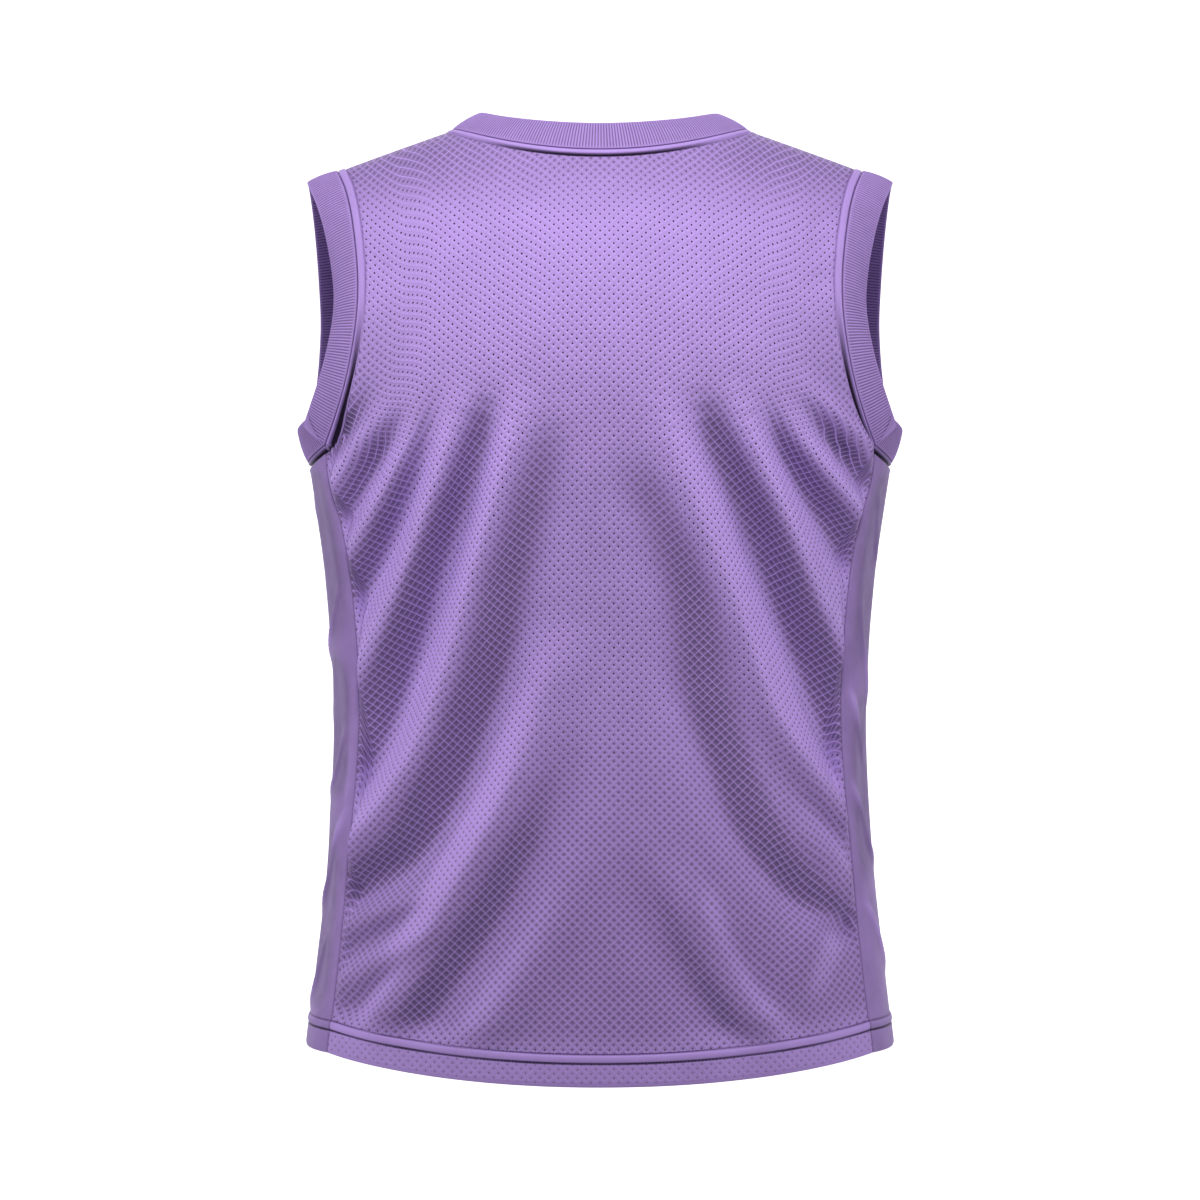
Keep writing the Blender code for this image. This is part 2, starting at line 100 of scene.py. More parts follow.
Armhole = namedtuple("Armhole", "height back_across front_across")
ARMHOLES = (
    Armhole(-240.5, 203.0, 203.0),
    Armhole(-223.5, 196.0, 200.5),
    Armhole(-197.5, 187.5, 198.0),
    Armhole(-171.5, 182.0, 195.5),
    Armhole(-141.5, 178.5, 194.0),
    Armhole(-110.5, 179.0, 194.5),
    Armhole(-71.5, 184.5, 196.0),
    Armhole(-47.5, 191.0, 197.5),
    Armhole(-30.9, 199.0, 199.0),
)

# Which way a ribbed band leans from its seam, by its turn round it.
Lean = namedtuple("Lean", "turn outwards backwards upwards")
ARMBAND_LEANS = (
    Lean(0.00, 0.93, 0.00, -0.36),
    Lean(0.25, 0.74, -0.67, 0.00),
    Lean(0.41, 0.60, -0.30, 0.60),
    Lean(0.50, 0.30, 0.00, 0.95),
    Lean(0.61, 0.82, 0.18, 0.50),
    Lean(0.75, 0.93, 0.36, 0.00),
    Lean(1.00, 0.93, 0.00, -0.36),
)
COLLAR_LEANS = (
    Lean(0.00, -0.88, 0.00, 0.47),
    Lean(0.10, -0.62, -0.45, 0.64),
    Lean(0.25, 0.00, -0.51, 0.86),
    Lean(0.40, -0.62, -0.45, 0.64),
    Lean(0.50, -0.88, 0.00, 0.47),
    Lean(0.75, 0.00, 0.60, 0.80),
    Lean(1.00, -0.88, 0.00, 0.47),
)

# Creases, each as the places its middle line passes, with a Bend's columns: spread is the
# half-width there, and rise the height, below 0 in a trough. A first rise of 0 leads the crease in.
Bend = namedtuple("Bend", "across height spread rise")
BACK_CREASES = (
    # Left of the middle: from the armhole to the side seam, then down to the hem
    ((168, -202, 6, 0), (182, -221, 6, -4.5), (199, -246, 6, -4), (208, -260, 6, -3)),
    ((150, -210, 7, 0), (171, -236, 7, 5), (190, -267, 7, 5), (199, -282, 7, 4)),
    ((140, -218, 7, 0), (164, -256, 7, -5.5), (185, -293, 7, -5), (193, -310, 7, -4.5)),
    (
        (129, -218, 8, 0), (140, -246, 8, 6), (157, -280, 8, 6), (176, -313, 8, 5.5),
        (185, -330, 7, 5),
    ),
    (
        (120, -218, 8, 0), (129, -246, 8, -6), (138, -275, 8, -6.5), (159, -326, 8, -6),
        (179, -357, 8, -5.5), (186, -372, 8, -5),
    ),
    (
        (104, -215, 9, 0), (111, -243, 9, 6), (120, -275, 9, 7.5), (137, -326, 9, 7.5),
        (155, -372, 9, 7), (176, -415, 9, 6.5), (185, -433, 9, 6),
    ),
    (
        (79, -215, 9, 0), (85, -239, 9, -6), (97, -283, 10, -7.5), (115, -341, 10, -7.5),
        (134, -400, 10, -7.5), (158, -456, 10, -7), (177, -485, 9, -6.5), (186, -498, 9, -6),
    ),
    (
        (61, -215, 10, 0), (66, -243, 10, 6), (77, -283, 10, 7.5), (93, -341, 10, 8),
        (108, -400, 11, 8), (128, -458, 11, 7.5), (152, -502, 11, 7), (179, -537, 10, 6.5),
        (188, -548, 10, 6),
    ),
    (
        (35, -239, 13, 0), (44, -283, 13, -3.5), (57, -341, 12, -5), (65, -390, 12, -6),
        (85, -448, 12, -7), (106, -497, 12, -7.5), (133, -540, 11, -7.5), (176, -569, 9, -7),
        (188, -575, 9, -6.5),
    ),
    (
        (23, -385, 13, 0), (37, -421, 13, 3.5), (50, -458, 13, 5), (65, -497, 12, 6),
        (86, -538, 12, 6.5), (106, -575, 12, 6), (123, -608, 11, 5.5), (148, -648, 11, 5.5),
        (164, -673, 11, 5),
    ),
    ((124, -570, 6, 0), (146, -578, 6, 2), (185, -597, 6, 2.8), (196, -603, 6, 2.8)),
    ((123, -578, 6, 0), (146, -593, 6, -2.4), (188, -618, 6, -3), (199, -624, 6, -3)),
    ((115, -591, 7, 0), (142, -610, 7, 2.6), (188, -640, 7, 3.2), (199, -647, 7, 3)),
    ((111, -602, 7, 0), (140, -624, 7, -2.6), (181, -658, 7, -3.2), (193, -667, 7, -3)),
    (
        (20, -473, 13, 0), (32, -505, 13, -3), (45, -535, 13, -4.5), (76, -593, 13, -5.5),
        (114, -648, 12, -5.5), (131, -673, 12, -5),
    ),
    ((15, -546, 13, 0), (31, -589, 13, 2.8), (58, -633, 13, 3.8), (86, -673, 13, 4)),
    # Right of the middle
    ((-145, -195, 6, 0), (-164, -212, 6, 4), (-190, -238, 6, 4.5), (-201, -249, 6, 4)),
    ((-146, -211, 6, 0), (-167, -235, 6, -4.8), (-192, -267, 6, -4.5), (-201, -279, 6, -4)),
    ((-133, -218, 7, 0), (-150, -245, 7, 5.5), (-179, -280, 7, 5.5), (-198, -304, 7, 5)),
    (
        (-120, -218, 8, 0), (-131, -243, 8, -6), (-143, -264, 8, -6.5), (-165, -297, 8, -6.5),
        (-185, -328, 8, -6), (-193, -342, 8, -5.5),
    ),
    (
        (-102, -215, 9, 0), (-110, -239, 9, 6), (-126, -279, 9, 7.5), (-143, -319, 9, 7.5),
        (-158, -358, 9, 7), (-182, -412, 9, 6.5), (-190, -430, 9, 6),
    ),
    (
        (-75, -215, 10, 0), (-82, -239, 10, -6), (-103, -284, 10, -7.5), (-126, -351, 10, -7.5),
        (-153, -414, 10, -7), (-178, -474, 10, -6.5), (-186, -494, 9, -6),
    ),
    (
        (-47, -215, 11, 0), (-54, -243, 11, 5), (-68, -284, 11, 6.5), (-91, -343, 11, 7),
        (-120, -429, 10, 7), (-144, -470, 9, 6.5), (-168, -503, 8, 6), (-195, -542, 8, 5.5),
    ),
    (
        (-20, -261, 14, 0), (-40, -305, 13, -3), (-55, -356, 13, -4.5), (-61, -414, 13, -5),
        (-78, -467, 12, -5.5), (-103, -526, 12, -6), (-139, -570, 10, -6), (-181, -596, 9, -6),
        (-193, -602, 9, -5.5),
    ),
    ((-146, -500, 6, 0), (-170, -524, 6, -2.6), (-190, -549, 6, -3), (-199, -560, 6, -2.8)),
    ((-130, -502, 8, 0), (-150, -527, 8, 3.2), (-181, -566, 8, 4), (-196, -586, 8, 4)),
    ((-53, -553, 12, 0), (-73, -600, 12, 4.5), (-100, -648, 12, 5.5), (-126, -678, 12, 5.5)),
    ((-23, -553, 13, 0), (-44, -597, 13, -3.6), (-70, -640, 13, -4.6), (-101, -681, 13, -4.6)),
    ((-82, -586, 10, 0), (-106, -624, 10, -2.8), (-139, -671, 10, -3)),
    ((-172, -570, 11, 0), (-154, -610, 11, 5.0), (-134, -655, 10, 3)),
    # Small dents below the shoulders
    ((178, -96, 5, -0.3), (164, -107, 5, -1.2), (150, -118, 5, 0)),
    ((-150, -84, 5, 0), (-164, -75, 5, -1.2), (-178, -66, 5, -0.3)),
    ((-150, -100, 5, 0), (-164, -92, 5, -1.1), (-176, -84, 5, -0.3)),
    ((-148, -128, 5, 0), (-162, -120, 5, -1.1), (-176, -112, 5, -0.3)),
)
FRONT_CREASES = (
    # Left of the middle
    ((166, -200, 6, 0), (182, -222, 6, -4), (206, -256, 6, -3)),
    ((148, -212, 7, 0), (170, -242, 7, 5), (199, -286, 7, 4)),
    ((128, -218, 8, 0), (142, -256, 8, -5.5), (164, -312, 8, -5.5), (190, -360, 8, -4.5)),
    ((104, -222, 9, 0), (117, -268, 9, 6.5), (142, -346, 9, 6.5), (190, -436, 9, 5)),
    ((78, -226, 10, 0), (92, -286, 10, -6.5), (119, -376, 10, -6.5), (188, -502, 9, -5)),
    (
        (54, -232, 11, 0), (70, -300, 11, 6), (99, -402, 11, 6.5), (136, -486, 11, 6),
        (190, -556, 10, 5),
    ),
    (
        (30, -262, 13, 0), (46, -330, 13, -4), (70, -430, 12, -6), (112, -522, 12, -6),
        (190, -596, 10, -5),
    ),
    (
        (24, -410, 13, 0), (46, -478, 13, 4.5), (82, -556, 12, 5.5), (128, -626, 12, 5),
        (168, -674, 11, 4.5),
    ),
    ((112, -594, 7, 0), (150, -622, 7, -2.6), (196, -650, 7, -3)),
    ((18, -486, 13, 0), (40, -548, 13, -4), (80, -612, 13, -4.6), (124, -676, 12, -4.6)),
    ((10, -560, 13, 0), (30, -612, 13, 2.6), (76, -680, 13, 3.4)),
    # Right of the middle
    ((-152, -200, 6, 0), (-172, -226, 6, 4.5), (-202, -262, 6, 3.5)),
    ((-140, -214, 7, 0), (-164, -250, 7, -5), (-200, -300, 7, -4)),
    ((-116, -218, 8, 0), (-134, -264, 8, 6), (-158, -322, 8, 5.5), (-192, -380, 8, 4.5)),
    ((-90, -222, 9, 0), (-104, -276, 9, -6.5), (-136, -362, 9, -6.5), (-190, -456, 9, -5)),
    (
        (-66, -226, 11, 0), (-80, -292, 11, 6), (-112, -396, 10, 6.5), (-150, -476, 10, 6),
        (-196, -540, 9, 5),
    ),
    (
        (-38, -256, 13, 0), (-54, -334, 13, -4), (-76, -430, 12, -5.5), (-120, -520, 12, -6),
        (-192, -588, 10, -5),
    ),
    (
        (-26, -420, 13, 0), (-50, -500, 13, 4), (-92, -572, 12, 5.5), (-146, -632, 11, 5),
        (-192, -664, 10, 4),
    ),
    ((-18, -512, 13, 0), (-44, -576, 13, -4), (-88, -634, 13, -5), (-136, -680, 12, -4.6)),
    ((-12, -574, 13, 0), (-40, -626, 13, 2.8), (-80, -680, 13, 3.6)),
)

# backward is the distance of a crease's middle line behind the side line.
SideCrease = namedtuple(
    "SideCrease", "start_backward start_height end_backward end_height spread rise"
)
LEFT_SIDE_CREASES = (
    SideCrease(48, -345, 6, -402, 2.6, 1.0),
    SideCrease(57, -400, 51, -516, 2.6, 0.9),
    SideCrease(44, -452, 10, -505, 2.4, 0.8),
    SideCrease(52, -512, 4, -592, 2.6, 1.1),
    SideCrease(36, -606, 8, -668, 2.6, 0.9),
    SideCrease(30, -252, 34, -380, 12, -1.4),
    SideCrease(28, -400, 30, -500, 11, -1.6),
    SideCrease(24, -530, 34, -660, 11, -1.6),
    SideCrease(-10, -270, -34, -360, 4, 1.2),
    SideCrease(-22, -340, -6, -460, 3, 1.0),
    SideCrease(-44, -430, -14, -540, 3, 1.1),
    SideCrease(-30, -560, -50, -655, 4, 1.2),
    SideCrease(-32, -380, -30, -620, 11, -1.6),
)
RIGHT_SIDE_CREASES = (
    SideCrease(40, -275, 14, -330, 2.6, 0.8),
    SideCrease(46, -352, 14, -440, 2.4, 0.8),
    SideCrease(52, -420, 22, -478, 2.6, 1.0),
    SideCrease(50, -492, 12, -556, 2.6, 1.1),
    SideCrease(48, -580, 12, -636, 2.6, 1.0),
    SideCrease(32, -260, 30, -400, 12, -1.5),
    SideCrease(26, -430, 32, -560, 11, -1.6),
    SideCrease(-16, -262, -40, -350, 4, 1.2),
    SideCrease(-46, -360, -12, -450, 3, 1.1),
    SideCrease(-18, -470, -40, -560, 3, 1.0),
    SideCrease(-48, -590, -20, -668, 4, 1.1),
    SideCrease(-30, -360, -32, -600, 11, -1.6),
)
CREASE_DEPTH = 1.5  # times the rises of the back's and front's creases
SIDE_DEPTH = 2.0  # times those of the side panels'
CREASE_LEAD = 26.0  # how far a crease starts before its first place
CREASE_START = 60.0  # how far it takes to reach its depth
CREASE_STEP = 4.0  # between the places worked out along it
CREASE_REACH = 45.0  # the farthest cloth it lifts
CREASE_FADE = 7.0  # how far from a seam it is at its depth

# Where shade is painted into the net's cells and a highlight is painted on the creases' crests. Each
# pair is a rise, height or place that has none of it and one that has it in full.
PAINTED_SHADE_RISES = (2.0, -7.0)
PAINTED_HIGHLIGHT_RISES = (2.0, 9.0)
PAINTED_SHADE_SHIFT = 15.0  # how far a crease's dark side lies outwards of its trough
SHIFT_HEIGHTS = (-140, -400)
CREASED_HEIGHTS = (-165, -225)
PAINTED_HIGHLIGHT_HEIGHTS = (-180, -240)
# Shade painted on the lower back (in part also on the crests), below the shoulders, more towards their
# ends, and beside the armholes
LOW_HEIGHTS = (-330, -620)
LOW_PAINTED_SHADE = 0.68
LOW_CREST_SHARE = 0.3
SHOULDER_HEIGHTS = (-85, -25)
SHOULDER_PAINTED_SHADE = 0.6
SHOULDER_END_PAINTED_SHADE = 0.2
SHOULDER_ENDS = (60, 130)
ARMHOLE_PAINTED_SHADE = 0.4

# Sewing, by the distance from a seam or from the hem's edge. A Strip is flat on top and a Line
# is rounded. height is over 0 where the cloth is lifted, and in a shade table it is the strength of
# painted shade.
STRIP_WIDTH = 5.6
NECK_STRIP_WIDTH = 4.3
WELT_LOW = 17.2
WELT_HIGH = 23.2
WELT_RISE = 1.3
HEM_RISE = 0.6
HEM_PLAIN = 0.45

Strip = namedtuple("Strip", "low high edge height")
Line = namedtuple("Line", "middle half height")
ARMHOLE_RELIEF = (
    Strip(0.7, STRIP_WIDTH, 0.8, 0.9),
    Line(0.0, 0.6, -0.5),
    Line(STRIP_WIDTH + 0.8, 0.7, -0.45),
)
UNDERARM_RELIEF = (
    Strip(0.6, 2.0, 0.7, 0.7),
    Strip(2.3, STRIP_WIDTH, 0.9, -2.0),
    Line(STRIP_WIDTH + 1.2, 0.8, 0.3),
)
NECK_RELIEF = (Strip(0.7, NECK_STRIP_WIDTH, 0.8, 1.2), Line(0.0, 0.6, -0.5))
NECK_GROOVE = (Line(NECK_STRIP_WIDTH + 1.2, 1.0, -1.3),)
HEM_RELIEF = (
    Line(WELT_LOW - 0.3, 0.6, -1.0),
    Line(WELT_HIGH + 0.2, 0.5, -0.5),
    Line(2.0, 0.5, -0.35),
)
SIDE_SEAM_RELIEF = (Line(0.0, 0.6, -0.6),)
SIDE_STRIP_RELIEF = (Strip(1.2, 3.4, 0.6, 0.25),)
# Shade painted into the cloth: in the seams, in the groove beside the underarm strip, under the neck
# strip and beside the hem's welt
ARMHOLE_SHADE = (Line(0.0, 0.5, 0.55),)
STRIP_SHADE = (Line(STRIP_WIDTH + 0.9, 0.5, 0.45),)
UNDERARM_SHADE = (Strip(2.2, STRIP_WIDTH + 0.2, 0.6, 1.0),)
NECK_SHADE = (Line(0.0, 0.5, 0.5),)
NECK_GROOVE_SHADE = (Strip(NECK_STRIP_WIDTH + 0.1, NECK_STRIP_WIDTH + 2.4, 0.6, 1.0),)
HEM_SHADE = (Strip(WELT_LOW - 1.0, WELT_LOW + 0.3, 0.6, 1.0), Line(WELT_HIGH + 0.3, 0.55, 0.7))
SIDE_SEAM_SHADE = (Line(0.0, 0.5, 0.5),)

# Steps of the sheets' grids
PANEL_STEP = 2.9
SIDE_HEIGHT_STEP = 3.0
SIDE_STEP = 2.8
SIDE_WIDTH = 150
FINE_STEP = 0.75
FINE_EDGE = 9.0
FINE_HEM = 26.0

# The grain: how much the flat cloth follows the body's curves, and where less so
GRAIN_SHARE = 0.42
GRAIN_LESS = 0.3
GRAIN_HEIGHTS = (-290, -170)


def smooth(low, high, value):
    """0 below low, 1 above high, and a smooth step in between. low may be above high."""
    share = np.clip((value - low) / (high - low), 0.0, 1.0)
    return share * share * (3 - 2 * share)


def bump(value, middle, half):
    """1 at middle, falling to 0 on both sides of it."""
    return np.exp(-(((value - middle) / half) ** 2))


def plateau(value, low, high, edge):
    """1 between low and high, and 0 outside them, with soft edges."""
    half = edge / 2
    return smooth(low - half, low + half, value) * smooth(high + half, high - half, value)


def curve(rows, column):
    """One column of a table as a smooth function of the table's first column."""
    rows = sorted(rows)
    at = np.array([float(row[0]) for row in rows])
    value = np.array([float(getattr(row, column)) for row in rows])
    count = len(rows)
    low = np.maximum(np.arange(count) - 1, 0)
    high = np.minimum(np.arange(count) + 1, count - 1)
    slope = (value[high] - value[low]) / (at[high] - at[low])

    def read(place):
        k = np.clip(np.searchsorted(at, place) - 1, 0, count - 2)
        span = at[k + 1] - at[k]
        t = np.clip((place - at[k]) / span, 0.0, 1.0)
        return (
            (2 * t**3 - 3 * t**2 + 1) * value[k]
            + (t**3 - 2 * t**2 + t) * span * slope[k]
            + (3 * t**2 - 2 * t**3) * value[k + 1]
            + (t**3 - t**2) * span * slope[k + 1]
        )

    return read


half_width = curve(SECTIONS, "half_width")
back_depth = curve(SECTIONS, "back_depth")
front_depth = curve(SECTIONS, "front_depth")
seam_across = curve(SECTIONS, "seam_across")
back_armhole = curve(ARMHOLES, "back_across")
front_armhole = curve(ARMHOLES, "front_across")


# The body as functions


def ridge_height(across):
    """Where the back and front meet over the shoulder."""
    at_neck = math.hypot(NECK_HALF_WIDTH, RIDGE_ROUNDING)
    return SHOULDER_FALL * (at_neck - np.hypot(across, RIDGE_ROUNDING))


def squared_depth(across, height, side):
    """The square of the body's depth behind (BACK) or in front of (FRONT) the side line."""
    depth = np.where(side > 0, back_depth(height), front_depth(height))
    closing = np.where(side > 0, BACK_CLOSING_HEIGHT, FRONT_CLOSING_HEIGHT)
    inside = np.maximum(0.0, 1.0 - (np.abs(across) / half_width(height)) ** SQUARENESS)
    below = np.clip((ridge_height(across) - height) / closing, 0.0, 1.0)
    return depth**2 * inside ** (2 / SQUARENESS) * (1.0 - (1.0 - below) ** 2)


def on_body(across, height, side):
    depth = side * np.sqrt(squared_depth(across, height, side))
    return np.stack(np.broadcast_arrays(across, depth, height), axis=-1)


def outwards(points, side):
    """The body's outward directions at points on it."""
    reach = 0.2
    x, y, z = points[..., 0], points[..., 1], points[..., 2]
    inner, outer = np.abs(x) - reach, np.abs(x) + reach
    outer = np.where(squared_depth(outer, z, side) == 0.0, np.abs(x), outer)
    by_x = (squared_depth(outer, z, side) - squared_depth(inner, z, side)) / (outer - inner)
    by_z = (squared_depth(x, z, side) - squared_depth(x, z - reach, side)) / reach
    return unit(np.stack([-by_x * np.where(x < 0, -1.0, 1.0), 2 * y, -by_z], axis=-1))


def unit(vectors):
    return vectors / np.maximum(np.linalg.norm(vectors, axis=-1, keepdims=True), 1e-9)


def on_side(turn, height):
    """(points, sides) at a turn from the back side seam at 0 to the front one at 1."""
    seam = seam_across(height)
    share = smooth(UNDERARM_SEAM_HEIGHT - 60, UNDERARM_SEAM_HEIGHT, height)
    seam = seam + share * (ARMHOLES[0].back_across - seam)
    width = half_width(height)
    start = np.arccos((seam / width) ** (SQUARENESS / 2))
    angle = start * (1 - 2 * turn)
    side = np.where(angle >= 0, BACK, FRONT)
    across = width * np.cos(angle) ** (2 / SQUARENESS)
    return on_body(across, height, side), side


def edge_across(height, side):
    """How far the edge of the back or front lies from the middle."""
    armhole = np.where(side > 0, back_armhole(height), front_armhole(height))
    below = np.minimum(height, UNDERARM_SEAM_HEIGHT)
    return np.where(height >= UNDERARM_SEAM_HEIGHT, armhole, on_side(0.0, below)[0][..., 0])


def top_height(across, side):
    """The neckline in the middle, and the shoulder seam on both sides of it."""
    share = np.minimum(np.abs(across) / NECK_HALF_WIDTH, 1.0)
    drop = NECK_DROP_BACK if side == BACK else NECK_DROP_FRONT
    return np.where(share >= 1.0 - 1e-9, ridge_height(across), -drop * (1 - share**2))


def hem_height(across):
    share = np.minimum(1.0, np.abs(across) / SECTIONS[1].seam_across)
    return HEM_HEIGHT - HEM_DROP * (1 - share**2)


# Creases


Place = namedtuple("Place", "run across height spread rise")


def crease_line(bends):
    """Close places along a crease, each a row of a Bend's columns."""
    bends = np.array(bends, dtype=float)
    if bends[0, 3] == 0.0:
        lead = bends[0].copy()
        back = bends[0, :2] - bends[1, :2]
        reach = np.linalg.norm(bends[-1, :2] - bends[0, :2])
        lead[:2] += unit(back) * min(CREASE_LEAD, 0.15 * reach)
        bends[0, 3] = lead[3] = bends[1, 3]
        bends = np.concatenate([[lead], bends])
    run = np.concatenate([[0], np.cumsum(np.linalg.norm(np.diff(bends[:, :2], axis=0), axis=1))])
    rows = [Place(at, *bend) for at, bend in zip(run, bends)]
    at = np.linspace(0, run[-1], int(run[-1] / CREASE_STEP) + 2)
    line = np.stack([curve(rows, column)(at) for column in Bend._fields], axis=-1)
    line[:, 3] *= CREASE_DEPTH * smooth(0, min(CREASE_START, 0.6 * run[-1]), at)
    return line


def crease_rise(across, height, creases):
    """How far the creases of the back or front lift the cloth."""
    places = np.stack(np.broadcast_arrays(across, height), axis=-1).reshape(-1, 2)
    total = np.zeros(len(places))
    for bends in creases:
        line = crease_line(bends)
        way = unit(np.gradient(line[:, :2], axis=0))
        low, high = line[:, :2].min(axis=0) - CREASE_REACH, line[:, :2].max(axis=0) + CREASE_REACH
        close = np.flatnonzero(np.all((places > low) & (places < high), axis=1))
        away = places[close, None, :] - line[None, :, :2]
        gap = np.sum(away**2, axis=2)
        k = np.argmin(gap, axis=1)
        each = np.arange(len(close))
        along = np.sum(away[each, k] * way[k], axis=1)
        beyond = ((k == 0) & (along < 0)) | ((k == len(line) - 1) & (along > 0))
        squared = gap[each, k] - np.where(beyond, 0.0, along**2)
        total[close] += line[k, 3] * np.exp(-squared / line[k, 2] ** 2 / 2)
    return total.reshape(np.broadcast(across, height).shape)


def side_rise(backward, height, turn, rows):
    """How far the creases of a side panel lift the cloth."""
    total = np.zeros(np.broadcast(backward, height).shape)
    for row in rows:
        along = (height - row.start_height) / (row.end_height - row.start_height)
        middle = row.start_backward + along * (row.end_backward - row.start_backward)
        taper = smooth(-0.1, 0.2, along) * smooth(1.1, 0.8, along)
        total += SIDE_DEPTH * row.rise * taper * np.exp(-(((backward - middle) / row.spread) ** 2) / 2)
    return total * smooth(0.0, 0.12, np.minimum(turn, 1 - turn))


# Seams as closed lines


def crowded(top, low, count):
    """Heights from the top of an armhole to its foot, closer together at the top."""
    return top - (top - low) * np.linspace(0, 1, count) ** 1.55


def armhole_line(count=900):
    """(points, outward directions, turns) round the wearer's left armhole, from the shoulder."""
    top = ridge_height(SHOULDER_HALF_WIDTH)
    share = np.linspace(0, 1, count)
    down = crowded(top, UNDERARM_SEAM_HEIGHT, count)
    back = on_body(back_armhole(down), down, BACK)
    front = on_body(front_armhole(down), down, FRONT)
    sag = 4 * share * (1 - share) * (UNDERARM_SEAM_HEIGHT - UNDERARM_LOW_HEIGHT)
    under, side = on_side(share, UNDERARM_SEAM_HEIGHT - sag)
    points = np.concatenate([back[:-1], under[:-1], front[::-1][:-1]])
    ups = np.concatenate(
        [outwards(back, BACK)[:-1], outwards(under, side)[:-1], outwards(front, FRONT)[::-1][:-1]]
    )
    turns = np.concatenate([0.42 * share[:-1], 0.42 + 0.16 * share[:-1], 0.58 + 0.42 * share[:-1]])
    return points, ups, turns


def neck_line(count=900):
    """(points, outward directions, turns) round the neck, over the back from the wearer's left."""
    even = np.linspace(1, -1, count)
    across = NECK_HALF_WIDTH * np.sin(even * math.pi / 2)
    across[0], across[-1] = NECK_HALF_WIDTH, -NECK_HALF_WIDTH
    back = on_body(across, top_height(across, BACK), BACK)
    front = on_body(across[::-1], top_height(across[::-1], FRONT), FRONT)
    points = np.concatenate([back[:-1], front[:-1]])
    ups = np.concatenate([outwards(back, BACK)[:-1], outwards(front, FRONT)[:-1]])
    turns = np.concatenate([(1 - even[:-1]) / 4, 0.5 + (1 - even[:-1]) / 4])
    return points, ups, turns


def evened(line, count):
    """A closed line's places at equal distances along it."""
    points, ups, turns = line
    closed = np.concatenate([points, points[:1]])
    length = np.concatenate([[0], np.cumsum(np.linalg.norm(np.diff(closed, axis=0), axis=1))])
    at = np.arange(count) * length[-1] / count

    def read(values):
        return np.stack([np.interp(at, length, values[:, k]) for k in range(values.shape[1])], axis=1)

    new_turns = np.interp(at, length, np.concatenate([turns, [1.0]]))
    return read(closed), unit(read(np.concatenate([ups, ups[:1]]))), new_turns, length[-1]


def side_seam_line(side, count=900):
    """The left side seam of the back or front, from the hem to the armhole."""
    height = np.linspace(HEM_HEIGHT, UNDERARM_SEAM_HEIGHT, count)
    return on_side(0.0 if side == BACK else 1.0, height)[0]


def distances(points, line):
    """How far each point is from a line's points."""
    tree = KDTree(len(line))
    for k, place in enumerate(line):
        tree.insert(place, k)
    tree.balance()
    flat = points.reshape(-1, 3)
    found = [tree.find(place)[2] for place in flat]
    return np.array(found).reshape(points.shape[:-1])


# What sewing does to the cloth: how far it lifts it, how plain it leaves it and the shade painted into
# its seams

Sewn = namedtuple("Sewn", "lift plain shade")


def relief(distance, rows):
    """The sum of a table's strips and lines at distances from a seam."""
    total = 0.0
    for row in rows:
        if isinstance(row, Strip):
            total = total + row.height * plateau(distance, row.low, row.high, row.edge)
        else:
            total = total + row.height * bump(distance, row.middle, row.half)
    return total


def sewn(armhole, neck, hem, side_seam, across, height, on_side_panel=False):
    """The sewing at distances from the seams and from the hem's edge."""
    low = smooth(-125, -195, height)
    middle_of_neck = 0.35 + 0.65 * smooth(100, 50, np.abs(across))
    strip, sunk = relief(armhole, ARMHOLE_RELIEF), relief(armhole, UNDERARM_RELIEF)
    middle, half = (WELT_LOW + WELT_HIGH) / 2, (WELT_HIGH - WELT_LOW) / 2
    lift = (
        strip
        + low * (sunk - strip)
        + relief(neck, NECK_RELIEF)
        + middle_of_neck * relief(neck, NECK_GROOVE)
        + WELT_RISE * np.sqrt(np.maximum(0.0, 1 - ((hem - middle) / half) ** 2))
        + HEM_RISE * smooth(WELT_LOW + 1.0, WELT_LOW - 1.0, hem)
        - 0.9 * smooth(1.6, 0.0, hem)
        + relief(hem, HEM_RELIEF)
        + relief(side_seam, SIDE_SEAM_RELIEF)
    )
    if on_side_panel:
        lift += relief(side_seam, SIDE_STRIP_RELIEF)
    plain = np.maximum.reduce(
        [
            smooth(STRIP_WIDTH + 1.6, STRIP_WIDTH + 0.6, armhole),
            smooth(NECK_STRIP_WIDTH + 1.8, NECK_STRIP_WIDTH + 0.8, neck),
            plateau(hem, WELT_LOW - 0.6, WELT_HIGH + 0.6, 0.5),
            HEM_PLAIN * smooth(WELT_LOW, WELT_LOW - 1, hem),
            smooth(3.0, 2.0, hem),
        ]
    )
    # Painted shade in the seams, their grooves and under the strips
    shade = np.maximum.reduce(
        [
            relief(armhole, ARMHOLE_SHADE),
            (1 - low) * relief(armhole, STRIP_SHADE),
            low * relief(armhole, UNDERARM_SHADE),
            relief(neck, NECK_SHADE),
            middle_of_neck * relief(neck, NECK_GROOVE_SHADE),
            relief(hem, HEM_SHADE),
            relief(side_seam, SIDE_SEAM_SHADE),
        ]
    )
    return Sewn(lift, plain, shade)


# Sheets of cloth


def spaced(low, high, step, fine, fine_step):
    """Places from low to high, step apart, and fine_step apart within fine of both ends."""
    ends = np.arange(0, fine, fine_step)
    count = max(2, round((high - low - 2 * fine) / step) + 1)
    middle = np.linspace(low + fine, high - fine, count)
    return np.concatenate([low + ends, middle, (high - ends)[::-1]])


def row_edges(top, step):
    """Heights of a panel's rows at its edge, close together in the hem and below its top."""
    edges = spaced(HEM_HEIGHT, top, step, FINE_EDGE, FINE_STEP)
    return np.unique(np.concatenate([edges, HEM_HEIGHT + np.arange(FINE_EDGE, FINE_HEM, FINE_STEP)]))


